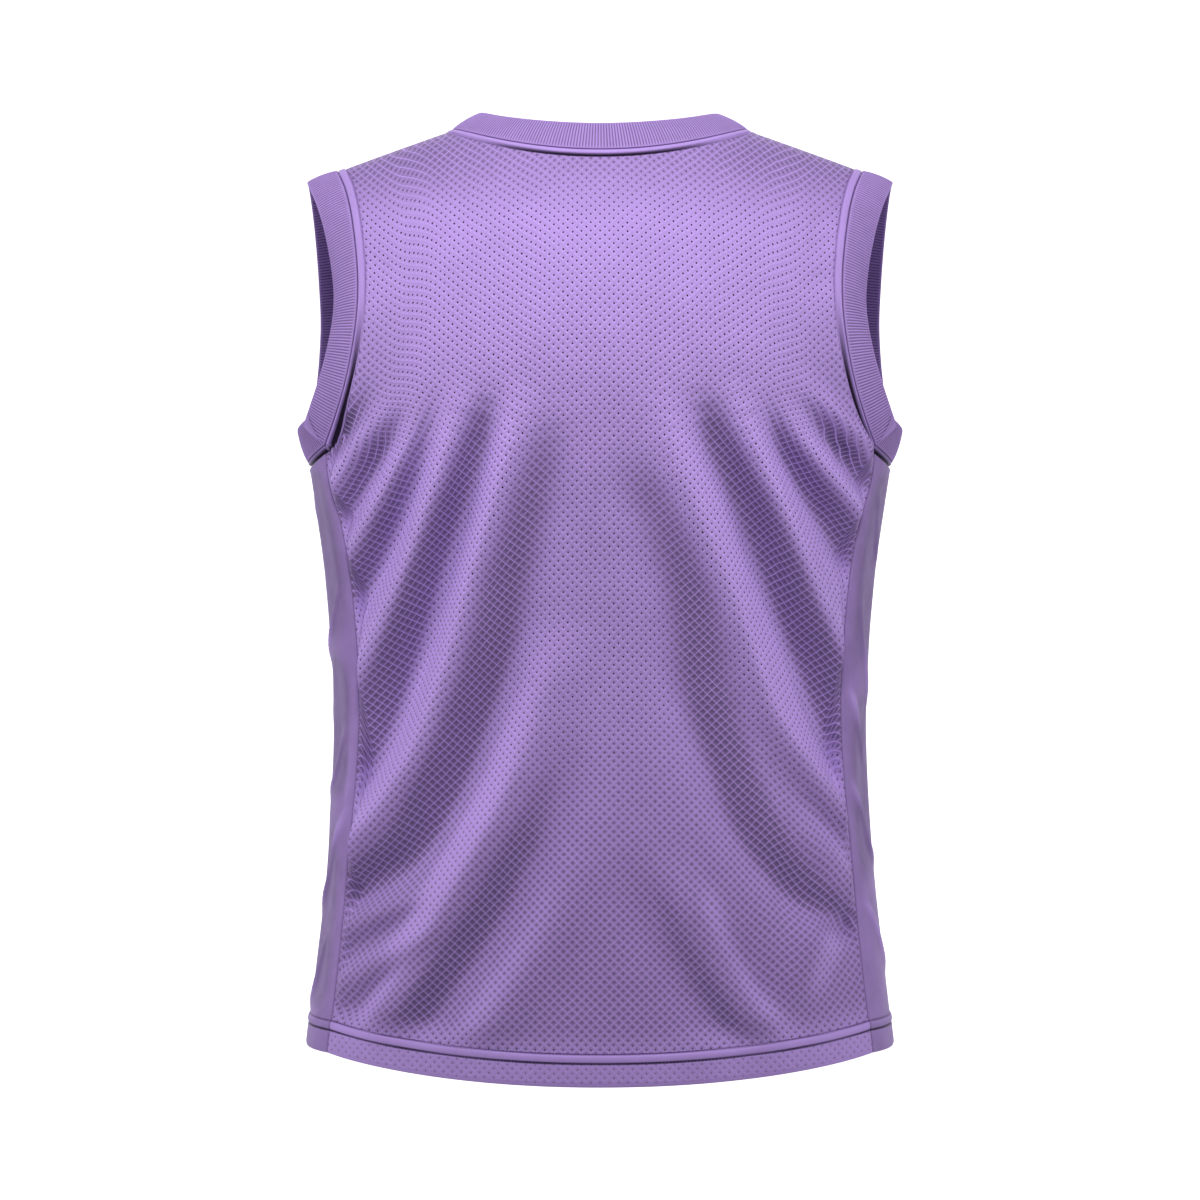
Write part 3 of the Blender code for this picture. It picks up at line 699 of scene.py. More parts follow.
def flat_places(points, middle_column):
    """Where each point of a bent grid lies on the flat cloth: (across, up), in metres."""
    steps = np.linalg.norm(np.diff(points, axis=1), axis=2)
    across = np.concatenate([np.zeros((len(points), 1)), np.cumsum(steps, axis=1)], axis=1)
    across -= across[:, middle_column][:, None]
    rises = np.linalg.norm(np.diff(points, axis=0), axis=2)
    up = np.concatenate([np.zeros((1, points.shape[1])), np.cumsum(rises, axis=0)], axis=0)
    return np.stack([across, up], axis=-1) * MM


def straight_grain(across, height, side, steps=48):
    """Where places on the body lie on flat cloth whose rows are level: (across, up), in metres."""
    share = np.linspace(0, 1, steps)[:, None, None]

    def run(from_across, from_height):
        out = from_across + (across - from_across) * share
        up = from_height + (height - from_height) * share
        return np.sum(np.linalg.norm(np.diff(on_body(out, up, side), axis=0), axis=-1), axis=0)

    along = run(0.0, height) * np.sign(across)
    up = run(across, HEM_HEIGHT) * np.sign(height - HEM_HEIGHT)
    seen = np.stack([across, height - HEM_HEIGHT], axis=-1)
    laid = (GRAIN_SHARE - GRAIN_LESS * smooth(*GRAIN_HEIGHTS, height))[..., None]
    return (laid * np.stack([along, up], axis=-1) + (1 - laid) * seen) * MM


def bend(piece, points, flat, features):
    """Bends a new grid to an array of points and stores its flat places and features."""
    mesh = piece.data
    mesh.vertices.foreach_set("co", (points.reshape(-1) * MM).astype(np.float32))
    corners = np.empty(len(mesh.loops), dtype=np.int32)
    mesh.loops.foreach_get("vertex_index", corners)
    layer = mesh.uv_layers.active
    layer.name = "cloth"
    layer.data.foreach_set("uv", flat.reshape(-1, 2)[corners].reshape(-1).astype(np.float32))
    for name, values in features.items():
        attribute = mesh.attributes.new(name, "FLOAT", "POINT")
        attribute.data.foreach_set("value", values.reshape(-1).astype(np.float32))
    mesh.update()


def grid_sheet(name, points, ups, flat, features):
    """A sheet of cloth bent to rows and columns of points, facing the way ups point."""
    rows, columns = points.shape[:2]
    bpy.ops.mesh.primitive_grid_add(x_subdivisions=columns - 1, y_subdivisions=rows - 1, size=1)
    piece = bpy.context.object
    piece.name = piece.data.name = name
    bend(piece, points, flat, features)
    middle = points[rows // 2, columns // 2]
    across = points[rows // 2, columns // 2 + 1] - middle
    up = points[rows // 2 + 1, columns // 2] - middle
    if np.dot(np.cross(across, up), ups[rows // 2, columns // 2]) < 0:
        piece.data.flip_normals()
    return piece


def thickened(piece, hem):
    """Gives a sheet its thickness, inwards from its outside, doubled at the hem."""
    group = piece.vertex_groups.new(name="thickness")
    doubled = hem.reshape(-1) < WELT_HIGH
    group.add([int(k) for k in np.flatnonzero(doubled)], 1.0, "REPLACE")
    group.add([int(k) for k in np.flatnonzero(~doubled)], CLOTH_THICKNESS / HEM_THICKNESS, "REPLACE")
    wall = piece.modifiers.new("Cloth", "SOLIDIFY")
    wall.thickness = HEM_THICKNESS * MM
    wall.offset = -1.0
    wall.vertex_group = group.name
    chosen(piece)
    bpy.ops.object.modifier_apply(modifier=wall.name)
    bpy.ops.object.shade_smooth_by_angle(angle=math.radians(60))


def clear_selection():
    for other in bpy.context.selected_objects:
        other.select_set(False)


def chosen(piece):
    """Makes a piece the only one selected, and the active one."""
    clear_selection()
    piece.select_set(True)
    bpy.context.view_layer.objects.active = piece


def finished(piece, replaced, material):
    """Gives a piece its material and what it rides on, and hides the CAD node that it replaces."""
    piece.data.materials.clear()
    piece.data.materials.append(material)
    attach(piece, "root")
    if replaced:
        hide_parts(replaced)


# The pieces


def hollows(across, height, hem, edge_gap, fade, rows):
    """(shade, highlight) painted into the mesh's colour, by the creases, height and armholes."""
    outwards_by = np.sign(across) * PAINTED_SHADE_SHIFT * smooth(*SHIFT_HEIGHTS, height)
    rise = crease_rise(across - outwards_by, height, rows)
    # A highlight painted on the creases' crests
    crest = smooth(*PAINTED_HIGHLIGHT_RISES, rise)
    low = LOW_PAINTED_SHADE * smooth(*LOW_HEIGHTS, height) * (1 - (1 - LOW_CREST_SHARE) * crest)
    hollow = np.maximum(smooth(*PAINTED_SHADE_RISES, rise), low) * smooth(*CREASED_HEIGHTS, height)
    hollow = hollow * (0.4 + 0.6 * smooth(WELT_HIGH, WELT_HIGH + 20, hem))
    ends = SHOULDER_END_PAINTED_SHADE * smooth(*SHOULDER_ENDS, np.abs(across))
    hollow = hollow + smooth(*SHOULDER_HEIGHTS, height) * (SHOULDER_PAINTED_SHADE + ends)
    beside_armhole = smooth(60, 8, edge_gap) * smooth(-120, -190, height) * smooth(-262, -235, height)
    hollow = hollow + ARMHOLE_PAINTED_SHADE * beside_armhole
    return hollow, crest * smooth(*PAINTED_HIGHLIGHT_HEIGHTS, height) * fade


def panel_arrays(side):
    """(points, ups, flat, features, hem distances) of the back or front."""
    edges = row_edges(ridge_height(SHOULDER_HALF_WIDTH), PANEL_STEP)
    widest = SHOULDER_HALF_WIDTH
    columns = spaced(-widest, widest, PANEL_STEP, 11 * FINE_STEP, FINE_STEP) / widest
    corner = NECK_HALF_WIDTH / SHOULDER_HALF_WIDTH
    for sign in (-1, 1):
        columns[np.argmin(np.abs(columns - sign * corner))] = sign * corner
    share, edge = np.meshgrid(columns, edges)
    up_share = (edge - edges[0]) / (edges[-1] - edges[0])
    across = share * edge_across(edge, side)
    bottom = hem_height(share * SECTIONS[1].seam_across)
    height = bottom + up_share * (top_height(share * SHOULDER_HALF_WIDTH, side) - bottom)
    base = on_body(across, height, side)
    ups = outwards(base, side)

    armhole, seam = armhole_line()[0], side_seam_line(side)
    hem = height - bottom
    detail = sewn(
        distances(base, both_hands(armhole)),
        distances(base, neck_line()[0]),
        hem,
        distances(base, both_hands(seam)),
        across,
        height,
    )

    rows = BACK_CREASES if side == BACK else FRONT_CREASES
    edge_gap = (1 - np.abs(share)) * edge_across(edge, side)
    above_hem = 0.12 + 0.88 * smooth(WELT_HIGH - 4, WELT_HIGH + 20, hem)
    fade = smooth(0, CREASE_FADE, edge_gap) * above_hem
    rise = fade * crease_rise(across, height, rows)
    points = base + ups * (CLOTH_THICKNESS + rise + detail.lift)[..., None]
    middle = len(columns) // 2
    flat = straight_grain(across, height, side) + flat_places(points, middle) - flat_places(base, middle)
    # Shade and highlight painted into the mesh's colour
    hollow, crest = hollows(across, height, hem, edge_gap, fade, rows)
    features = {"plain": detail.plain, "shade": detail.shade, "hollow": hollow, "crest": crest}
    return points, ups, flat, features, hem


def both_hands(line):
    """A line's points and their mirror image."""
    return np.concatenate([line, line * [-1, 1, 1]])


def side_arrays(hand):
    """(points, ups, flat, features, hem distances) of a side panel."""
    edges = row_edges(UNDERARM_SEAM_HEIGHT, SIDE_HEIGHT_STEP)
    turns = spaced(0, SIDE_WIDTH, SIDE_STEP, 6 * FINE_STEP, FINE_STEP) / SIDE_WIDTH
    turn, edge = np.meshgrid(turns, edges)
    share = (edge - edges[0]) / (edges[-1] - edges[0])
    sag = 4 * turn * (1 - turn) * (UNDERARM_SEAM_HEIGHT - UNDERARM_LOW_HEIGHT)
    height = edge - sag * share**4
    base, side = on_side(turn, height)
    ups = outwards(base, side)
    armhole = distances(base, armhole_line()[0])
    seams = distances(base, np.concatenate([side_seam_line(BACK), side_seam_line(FRONT)]))
    hem = edge - HEM_HEIGHT
    far = np.full(base.shape[:-1], 99.0)
    detail = sewn(armhole, far, hem, seams, far, height, on_side_panel=True)
    fade = smooth(WELT_HIGH - 6, WELT_HIGH + 12, hem) * smooth(3, 20, armhole)
    creases = LEFT_SIDE_CREASES if hand == 1 else RIGHT_SIDE_CREASES
    rise = fade * side_rise(base[..., 1], height, turn, creases)
    points = base + ups * (CLOTH_THICKNESS + rise + detail.lift)[..., None]
    flat = flat_places(points, len(turns) // 2)
    flip = np.array([hand, 1, 1])
    # Light and shade painted on the side creases: lighter on their ridges, darker in their troughs
    ridge = np.clip(rise / SIDE_DEPTH, -0.5, 1.0)
    features = {"plain": detail.plain, "shade": detail.shade, "ridge": ridge}
    return points * flip, ups * flip, flat, features, hem


BandRow = namedtuple("BandRow", "reach level")
BAND_OUTSIDE = (0.15, 0.5, 1.0, 1.8, 3.5, 6, 9, 12, 15, 18, 21, 22.8)
BAND_TURN = (60, 30, 0, -30, -60)
BAND_INSIDE = (22.8, 18, 13, 8, 4, 1.5, 0.15)
PLACES_PER_RIB = 6


def band_section():
    """The section of a ribbed band: out along its outside, round its folded edge and back."""
    half = RIB_THICKNESS / 2
    outside = [BandRow(reach, half) for reach in BAND_OUTSIDE]
    centre = BAND_WIDTH - half
    turned = [
        BandRow(centre + half * math.cos(a), half * math.sin(a))
        for a in map(math.radians, BAND_TURN)
    ]
    inside = [BandRow(reach, -half) for reach in BAND_INSIDE]
    return outside + turned + inside


def band_points(line, hand, leans, rib_count, relief):
    """(points, flat places, features, length) of a ribbed band."""
    count = rib_count * PLACES_PER_RIB
    seam, ups, turns, length = evened(line, count)
    lean = np.stack([curve(leans, c)(turns) for c in ("outwards", "backwards", "upwards")], axis=-1)
    if hand is None:
        lean[:, 0] *= np.where(seam[:, 0] < 0, -1.0, 1.0)
    along = unit(np.roll(seam, -1, axis=0) - np.roll(seam, 1, axis=0))
    way = unit(lean - along * np.sum(lean * along, axis=1, keepdims=True))
    away = unit(np.cross(along, way))
    away *= np.where(np.sum(away * ups, axis=1, keepdims=True) < 0, -1.0, 1.0)

    rows = band_section()
    reach = np.array([row.reach for row in rows])[None, :, None]
    level = np.array([row.level for row in rows])[None, :, None]
    share = reach / BAND_WIDTH
    bulge = BAND_BULGE * 4 * share * (1 - share)
    turned = smooth(0.0, BAND_WIDTH / 4, reach)
    direction = unit(ups[:, None, :] * (1 - turned) + away[:, None, :] * turned)
    wale = np.abs(np.sin(np.arange(count) * math.pi / PLACES_PER_RIB)) ** 0.8
    ribbed = smooth(0.6, 2.2, reach) * smooth(BAND_WIDTH + 0.4, BAND_WIDTH - 2.2, reach)
    depth = relief * ribbed * (wale[:, None, None] - 1)
    rolled = 0.55 * bump(reach, 0.0, 0.7)
    lifted = level + np.sign(level) * (depth - rolled)
    points = seam[:, None, :] + way[:, None, :] * reach + away[:, None, :] * bulge
    points = points + direction * (RIB_THICKNESS / 2 + lifted)
    # Shade painted into the grooves between the ribs and along the band's seam
    groove = np.broadcast_to((1 - wale)[:, None], points.shape[:2]) * ribbed[..., 0]
    dark = np.broadcast_to(0.6 * bump(reach[..., 0], 0.0, 0.6), points.shape[:2])
    features = {"groove": groove, "shade": dark}
    ring = [0, *range(1, count), 0]
    loop = [0, *range(1, len(rows)), 0]
    points = points[ring][:, loop]
    features = {name: values[ring][:, loop] for name, values in features.items()}
    around = np.arange(count + 1) * length / count
    section = np.array([(row.reach, row.level) for row in rows])[loop]
    along_rib = np.concatenate([[0], np.cumsum(np.linalg.norm(np.diff(section, axis=0), axis=1))])
    flat = np.stack(np.meshgrid(around, along_rib, indexing="ij"), axis=-1) * MM
    return points, flat, features, length


def ring_band(name, line, hand, leans, pitch, relief):
    """A ribbed band: a grid bent to its rows and closed both ways."""
    rib_count = round(evened(line, 1200)[3] / pitch)
    points, flat, features, length = band_points(line, hand, leans, rib_count, relief)
    around, section = points.shape[:2]
    bpy.ops.mesh.primitive_grid_add(x_subdivisions=section - 1, y_subdivisions=around - 1, size=1)
    piece = bpy.context.object
    piece.name = piece.data.name = name
    placed = points * [-1, 1, 1] if hand == -1 else points
    bend(piece, placed, flat, features)
    if signed_volume(placed) < 0:
        piece.data.flip_normals()
    chosen(piece)
    bpy.ops.object.mode_set(mode="EDIT")
    bpy.ops.mesh.select_all(action="SELECT")
    bpy.ops.mesh.remove_doubles(threshold=0.000001)
    bpy.ops.object.mode_set(mode="OBJECT")
    bpy.ops.object.shade_smooth()
    return piece, length


def signed_volume(points):
    """Over 0 where a closed grid's faces look out of it."""
    a, b = points[:-1, :-1], points[:-1, 1:]
    c, d = points[1:, 1:], points[1:, :-1]
    return (np.sum(a * np.cross(b, c)) + np.sum(a * np.cross(c, d))) / 6


# Topstitching


def beside(line, distance):
    """(points, outward directions) on the cloth at a distance from a closed seam."""
    points, ups = evened(line, 1200)[:2]
    along = unit(np.roll(points, -1, axis=0) - np.roll(points, 1, axis=0))
    return points + unit(np.cross(along, ups)) * distance, ups


def along_hem(distance, count=700):
    """(points, outward directions) all round, at a distance from the hem's edge."""
    share = np.linspace(-1, 1, count)
    across = share * edge_across(HEM_HEIGHT, BACK)
    rings, ways = [], []
    for side in (BACK, FRONT):
        base = on_body(side * across, hem_height(share * SECTIONS[1].seam_across) + distance, side)
        rings.append(base)
        ways.append(outwards(base, side))
        turns = np.linspace(0, 1, 160)
        base, sides = on_side(turns if side == BACK else 1 - turns, HEM_HEIGHT + distance)
        flip = np.array([side, 1, 1])
        rings.append(base * flip)
        ways.append(outwards(base, sides) * flip)
    return np.concatenate(rings), np.concatenate(ways)


def on_cloth(points, ups, cloths):
    """Moves points along their outward directions onto the outside of the cloth."""
    placed = []
    for point, up in zip(points * MM, ups):
        found = [c.ray_cast(point + up * 0.02, -up, distance=0.04) for c in cloths]
        hits = [ray[1] for ray in found if ray[0]]
        placed.append(max(hits, key=lambda place: place.dot(Vector(up))) if hits else point)
    return np.array(placed) / MM


def stitch_row(points, ups, pitch, length):
    """Middles, directions and outward directions of stitches along a closed line."""
    closed = np.concatenate([points, points[:1]])
    run = np.concatenate([[0], np.cumsum(np.linalg.norm(np.diff(closed, axis=0), axis=1))])
    starts = np.arange(int(run[-1] / pitch)) * run[-1] / int(run[-1] / pitch)

    def read(values, at):
        ring = np.concatenate([values, values[:1]])
        return np.stack([np.interp(at % run[-1], run, ring[:, k]) for k in range(3)], axis=1)

    a, b = read(points, starts), read(points, starts + length)
    return (a + b) / 2, unit(b - a), unit(read(ups, starts + length / 2))


def stitches(name, rows, length, thickness):
    """Every stitch of the topstitching as one mesh, copied from one small bead of thread."""
    bpy.ops.mesh.primitive_uv_sphere_add(segments=6, ring_count=5, radius=0.5)
    bead = bpy.context.object
    shape = np.array([v.co[:] for v in bead.data.vertices])
    faces = [tuple(p.vertices) for p in bead.data.polygons]
    bpy.data.objects.remove(bead)
    shape = shape * [thickness, thickness, length]
    shape[:, 0] -= thickness * 0.8 * (shape[:, 2] / (length / 2)) ** 2
    points, all_faces = [], []
    for middles, ways, ups in rows:
        across = np.cross(ups, ways)
        placed = (
            middles[:, None, :]
            + ups[:, None, :] * shape[None, :, 0:1]
            + across[:, None, :] * shape[None, :, 1:2]
            + ways[:, None, :] * shape[None, :, 2:3]
        )
        start = sum(len(p) for p in points)
        for k in range(len(middles)):
            at = start + k * len(shape)
            all_faces.extend(tuple(at + v for v in face) for face in faces)
        points.append(placed.reshape(-1, 3))
    mesh = bpy.data.meshes.new(name)
    mesh.from_pydata((np.concatenate(points) * MM).tolist(), [], all_faces)
    mesh.shade_smooth()
    piece = bpy.data.objects.new(name, mesh)
    bpy.context.scene.collection.objects.link(piece)
    return piece


# Shader maths. Sizes in the materials are metres.

KNIT_STITCH = (0.0011, 0.0009)
PLAIN_STITCH = (0.0008, 0.0007)
RIB_LOOP = 0.0016
BLACK = (0.0, 0.0, 0.0, 1.0)


class Shade:
    """A shader socket that takes part in sums."""

    def __init__(self, tree, socket):
        self.tree, self.socket = tree, socket

    def maths(self, operation, *values):
        return node(self.tree, "ShaderNodeMath", {"operation": operation}, dict(enumerate(values)))

    def __add__(self, other):
        return self.maths("ADD", self, other)

    def __sub__(self, other):
        return self.maths("SUBTRACT", self, other)

    def __rsub__(self, other):
        return self.maths("SUBTRACT", other, self)

    def __mul__(self, other):
        return self.maths("MULTIPLY", self, other)

    def __truediv__(self, other):
        return self.maths("DIVIDE", self, other)

    __radd__, __rmul__ = __add__, __mul__

    def whole(self):
        return self.maths("ROUND", self)

    def size(self):
        return self.maths("ABSOLUTE", self)

    def root(self):
        return self.maths("SQRT", self)

    def wave(self, length):
        return self.maths("SINE", self * (2 * math.pi / length))

    def larger(self, other):
        return self.maths("MAXIMUM", self, other)

    def step(self, low, high, start=0.0, end=1.0):
        """start below low, end above high, and smooth in between."""
        sockets = {0: self, 1: low, 2: high, 3: start, 4: end}
        return node(self.tree, "ShaderNodeMapRange", {"interpolation_type": "SMOOTHSTEP"}, sockets)


def node(tree, kind, settings=None, sockets=None, output=0):
    """A new node: its settings are made first, then its sockets take values or links."""
    made = tree.nodes.new(kind)
    for key, value in (settings or {}).items():
        setattr(made, key, value)
    for key, value in (sockets or {}).items():
        if isinstance(value, Shade):
            tree.links.new(value.socket, made.inputs[key])
        else:
            made.inputs[key].default_value = value
    return Shade(tree, made.outputs[output])


def darkened(tree, share, colour):
    """A colour, darker as share falls below 1."""
    settings = {"data_type": "RGBA", "blend_type": "MIX"}
    return node(tree, "ShaderNodeMix", settings, {0: share, 6: BLACK, 7: (*colour, 1.0)}, 2)


def new_cloth(name, roughness, sheen):
    """(material, tree, shader) of a new cloth."""
    material = bpy.data.materials.new(name)
    material.use_nodes = True
    tree = material.node_tree
    shader = tree.nodes["Principled BSDF"]
    look = bpy.context.scene.jersey_look
    shader.inputs["Roughness"].default_value = roughness
    shader.inputs["Specular IOR Level"].default_value = 0.18
    shader.inputs["Specular Tint"].default_value = (*look.cloth, 1.0)
    shader.inputs["Sheen Weight"].default_value = sheen
    shader.inputs["Sheen Roughness"].default_value = 0.35
    shader.inputs["Sheen Tint"].default_value = (*look.cloth, 1.0)
    return material, tree, shader


def flat_axes(tree):
    """The piece's flat place, and its two parts across and up."""
    place = node(tree, "ShaderNodeUVMap", {"uv_map": "cloth"})
    parts = tree.nodes.new("ShaderNodeSeparateXYZ")
    tree.links.new(place.socket, parts.inputs[0])
    return place, Shade(tree, parts.outputs[0]), Shade(tree, parts.outputs[1])


def feature(tree, name):
    """A feature that the sheet or band was made with, such as how plain sewing leaves it."""
    return node(tree, "ShaderNodeAttribute", {"attribute_name": name}, output=2)


def mottle(tree, size, detail):
    """Soft uneven tone, about 0 on average."""
    place = node(tree, "ShaderNodeTexCoord", output=3)
    sockets = {"Vector": place, "Scale": 1 / size, "Detail": detail}
    return node(tree, "ShaderNodeTexNoise", None, sockets) - 0.5


def finish_cloth(tree, shader, colour, height):
    """Gives a shader its colour, and its finest relief as bump."""
    tree.links.new(colour.socket, shader.inputs["Base Color"])
    bumped = node(tree, "ShaderNodeBump", None, {"Strength": 1.0, "Distance": 1.0, "Height": height})
    tree.links.new(bumped.socket, shader.inputs["Normal"])


def satin_mesh():
    """Satin knit with staggered pinholes and raised lines between them, crossing in diamonds."""
    cut, look = bpy.context.scene.jersey_cut, bpy.context.scene.jersey_look
    material, tree, shader = new_cloth("satin_mesh", look.mesh_roughness, look.sheen)
    place, across, up = flat_axes(tree)
    wander = node(tree, "ShaderNodeTexNoise", None, {"Vector": place, "Scale": 90.0, "Detail": 2.0})
    uneven = node(tree, "ShaderNodeTexNoise", None, {"Vector": place, "Scale": 260.0, "Detail": 1.0})
    tone = mottle(tree, 0.03, 3.0)
    across = across + (wander - 0.5) * 0.0016
    up = up + (wander - 0.5) * 0.0012

    # The two slanting ways of the net, each 0 at a pinhole and 0.5 halfway to the next
    a, b = across / cut.mesh_across, up / cut.mesh_up
    one, two = a + b, a - b
    one, two = one - one.whole(), two - two.whole()
    side = (one + two) * (0.5 * cut.mesh_across)
    tall = (one - two) * (0.5 * cut.mesh_up)
    out = (side * side + tall * tall * 0.7).root()

    open_cloth = 1 - feature(tree, "plain")
    hollow, crest, shade = (feature(tree, name) for name in ("hollow", "crest", "shade"))
    size = cut.pinhole
    hole = out.step(size * 0.3, size * 0.64, 1.0, 0.0) * open_cloth
    # A highlight painted in a ring round each pinhole
    painted_rim_highlight = out.step(size * 0.5, size * 0.75) * out.step(size * 0.9, size * 1.6, 1.0, 0.0)
    bowl = one.size().larger(two.size()) * 2
    knot = (one.size() + two.size()).step(0.8, 0.92)
    yarn = bowl.step(0.76, 0.95).larger(knot * 1.25)
    knit = across.wave(KNIT_STITCH[0]) * up.wave(KNIT_STITCH[1])

    # Lighter with the highlights painted on the crests and round the pinholes, and with random tone
    light = 0.85 + 0.16 * crest + 0.05 * painted_rim_highlight * open_cloth + 0.13 * tone + 0.05 * uneven
    # Painted shade in the net's cells, which leaves the yarn lines light
    cell = 1 - hollow * open_cloth * look.painted_shade_strength * (1 - yarn)
    # The pinholes are not cut: their dark is painted shade of the inside seen through them, less dark
    # where shade is painted into the cells
    dark = 1 - hole * look.hole_shade * (1 - 0.75 * hollow) * (0.5 + uneven)
    # The shade painted into the seams darkens the cloth as well
    share = light * dark * (1 - shade * look.seam_shade) * cell
    height = (bowl * bowl * 0.00035 + yarn * 0.00012) * open_cloth
    height = height - hole * 0.0003 + knit * 0.00002 + tone * 0.0006
    finish_cloth(tree, shader, darkened(tree, share, look.cloth), height)
    return material


def close_knit():
    """Plain close knit with fine lengthwise wales."""
    look = bpy.context.scene.jersey_look
    material, tree, shader = new_cloth("close_knit", look.knit_roughness, look.sheen)
    across, up = flat_axes(tree)[1:]
    wales, loops = across.wave(PLAIN_STITCH[0]), up.wave(PLAIN_STITCH[1])
    tone = mottle(tree, 0.02, 4.0)
    shade = feature(tree, "shade")
    # Painted light and shade of the side creases, with random tone and the shade painted into the seams
    painted_fold_light_and_tone = 0.62 + 0.3 * feature(tree, "ridge") + 0.25 * tone
    colour = darkened(tree, painted_fold_light_and_tone * (1 - shade * look.seam_shade), look.cloth)
    height = wales * 0.00002 + wales * loops * 0.00002 + tone * 0.0012
    finish_cloth(tree, shader, colour, height)
    return material


def ribbed_knit():
    """Matte rib knit: the ribs are modelled, and the loops along them are in the bump."""
    look = bpy.context.scene.jersey_look
    material, tree, shader = new_cloth("ribbed_knit", look.rib_roughness, look.sheen)
    along = flat_axes(tree)[2]
    loops = along.wave(RIB_LOOP)
    groove = feature(tree, "groove")
    shade = feature(tree, "shade")
    tone = mottle(tree, 0.012, 4.0)
    # Painted shade in the grooves between the ribs and at the seam, with random tone
    share = (0.94 + 0.14 * tone) * (1 - groove * look.groove_shade) * (1 - shade * look.seam_shade)
    height = loops * (1 - groove) * 0.00004 + tone * 0.0003
    finish_cloth(tree, shader, darkened(tree, share, look.rib), height)
    return material


def thread():
    """Polyester sewing thread with its twist."""
    look = bpy.context.scene.jersey_look
    material, tree, shader = new_cloth("sewing_thread", 0.45, look.sheen)
    tone = mottle(tree, 0.002, 1.0)
    finish_cloth(tree, shader, darkened(tree, 0.92 + 0.3 * tone, look.thread), tone * 0.0002)
    return material


def material_for(name, maker):
    """The material of that name, made the first time."""
    return bpy.data.materials.get(name) or maker()


# Properties, operators and the sidebar


def length_property(name, description, default):
    return FloatProperty(
        name=name, description=description, default=default, min=0.0, unit="LENGTH", precision=5
    )


def share_property(name, description, default):
    return FloatProperty(
        name=name, description=description, default=default, min=0.0, max=1.0, subtype="FACTOR"
    )


def colour_property(name, description, default):
    return FloatVectorProperty(
        name=name, description=description, default=default, min=0.0, max=1.0, subtype="COLOR"
    )


def power_property(name, description, default):
    return FloatProperty(name=name, description=description, default=default, min=0.0, unit="POWER")


class JerseyCut(PropertyGroup):
    mesh_across: length_property("Pinholes across", "Distance between pinholes in a row", 0.0067)
    mesh_up: length_property("Pinholes up", "Distance between every second row of pinholes", 0.0064)
    pinhole: length_property("Pinhole", "Width of a pinhole", 0.0013)
    rib_pitch: length_property("Rib pitch", "Distance between ribs of the bands", 0.0023)
    rib_relief: length_property("Rib relief", "Depth of the grooves between ribs", 0.00045)
    stitch_pitch: length_property("Stitch pitch", "Distance between topstitches", 0.0026)
    stitch_length: length_property("Stitch length", "Length of one topstitch", 0.0021)
    thread_width: length_property("Thread", "Width of the sewing thread", 0.00045)


class JerseyLook(PropertyGroup):
    cloth: colour_property("Cloth", "Colour of the mesh and the smooth knit", (0.638, 0.42, 0.99))
    rib: colour_property("Rib", "Colour of the rib knit", (0.55, 0.36, 0.85))
    thread: colour_property("Thread", "Colour of the sewing thread", (0.56, 0.37, 0.87))
    # Strength of the shade painted into the net's cells
    painted_shade_strength: share_property("Hollow shade", "How dark the net's cells are in hollows", 0.58)
    # Strength of the shade painted into the pinholes
    hole_shade: share_property("Pinhole shade", "How dark the pinholes are", 0.95)
    # Strength of the shade painted into the seams
    seam_shade: share_property("Seam shade", "How dark the cloth lies in the seams", 0.97)
    # Strength of the shade painted into the rib's grooves
    groove_shade: share_property("Groove shade", "How dark the grooves of the rib are", 0.75)
    mesh_roughness: share_property("Mesh roughness", "Roughness of the satin mesh", 0.42)
    knit_roughness: share_property("Knit roughness", "Roughness of the side panels", 0.5)
    rib_roughness: share_property("Rib roughness", "Roughness of the rib knit", 0.65)
    sheen: share_property("Sheen", "Soft sheen of the yarn", 0.04)


class JerseyStage(PropertyGroup):
    key_power: power_property("Key light", "Power of the high key light", 14.0)
    upper_power: power_property("Upper light", "Power of the light above the shoulders", 4.4)
    front_power: power_property("Front light", "Power of the light over the camera", 4.8)
    high_side_power: power_property("High side lights", "Power of each light high at the side", 5.5)
    low_side_power: power_property("Low side lights", "Power of each light low at the side", 4.2)
    world_light: share_property("Room light", "Strength of the room's light", 0.03)
    camera_distance: length_property("Camera distance", "From the side line to the camera", 2.4)
    frame_width: length_property("Frame width", "Width of the picture at the side line", 0.9144)


class JERSEY_OT_panels(Operator):
    """Make the back and front in pinhole mesh, with their creases, hems and seams"""

    bl_idname = "jersey.panels"
    bl_label = "Back and Front"

    def execute(self, context):
        cloth = material_for("satin_mesh", satin_mesh)
        for name, side, area in (("back", BACK, 0.30), ("front", FRONT, 0.29)):
            points, ups, flat, features, hem = panel_arrays(side)
            piece = grid_sheet(name + "_cloth", points, ups, flat, features)
            thickened(piece, hem)
            finished(piece, name + "_panel", cloth)
        return {"FINISHED"}


class JERSEY_OT_side_panels(Operator):
    """Make the two side panels in smooth knit"""

    bl_idname = "jersey.side_panels"
    bl_label = "Side Panels"

    def execute(self, context):
        cloth = material_for("close_knit", close_knit)
        for name, hand in (("left", 1), ("right", -1)):
            points, ups, flat, features, hem = side_arrays(hand)
            piece = grid_sheet("side_" + name + "_cloth", points, ups, flat, features)
            thickened(piece, hem)
            finished(piece, "side_panel_" + name, cloth)
        return {"FINISHED"}


class JERSEY_OT_collar(Operator):
    """Make the ribbed collar"""

    bl_idname = "jersey.collar"
    bl_label = "Collar"

    def execute(self, context):
        cut = context.scene.jersey_cut
        pitch, relief = cut.rib_pitch / MM, cut.rib_relief / MM
        piece, length = ring_band("collar_rib", neck_line(), None, COLLAR_LEANS, pitch, relief)
        finished(piece, "collar", material_for("ribbed_knit", ribbed_knit))
        length * MM
        return {"FINISHED"}


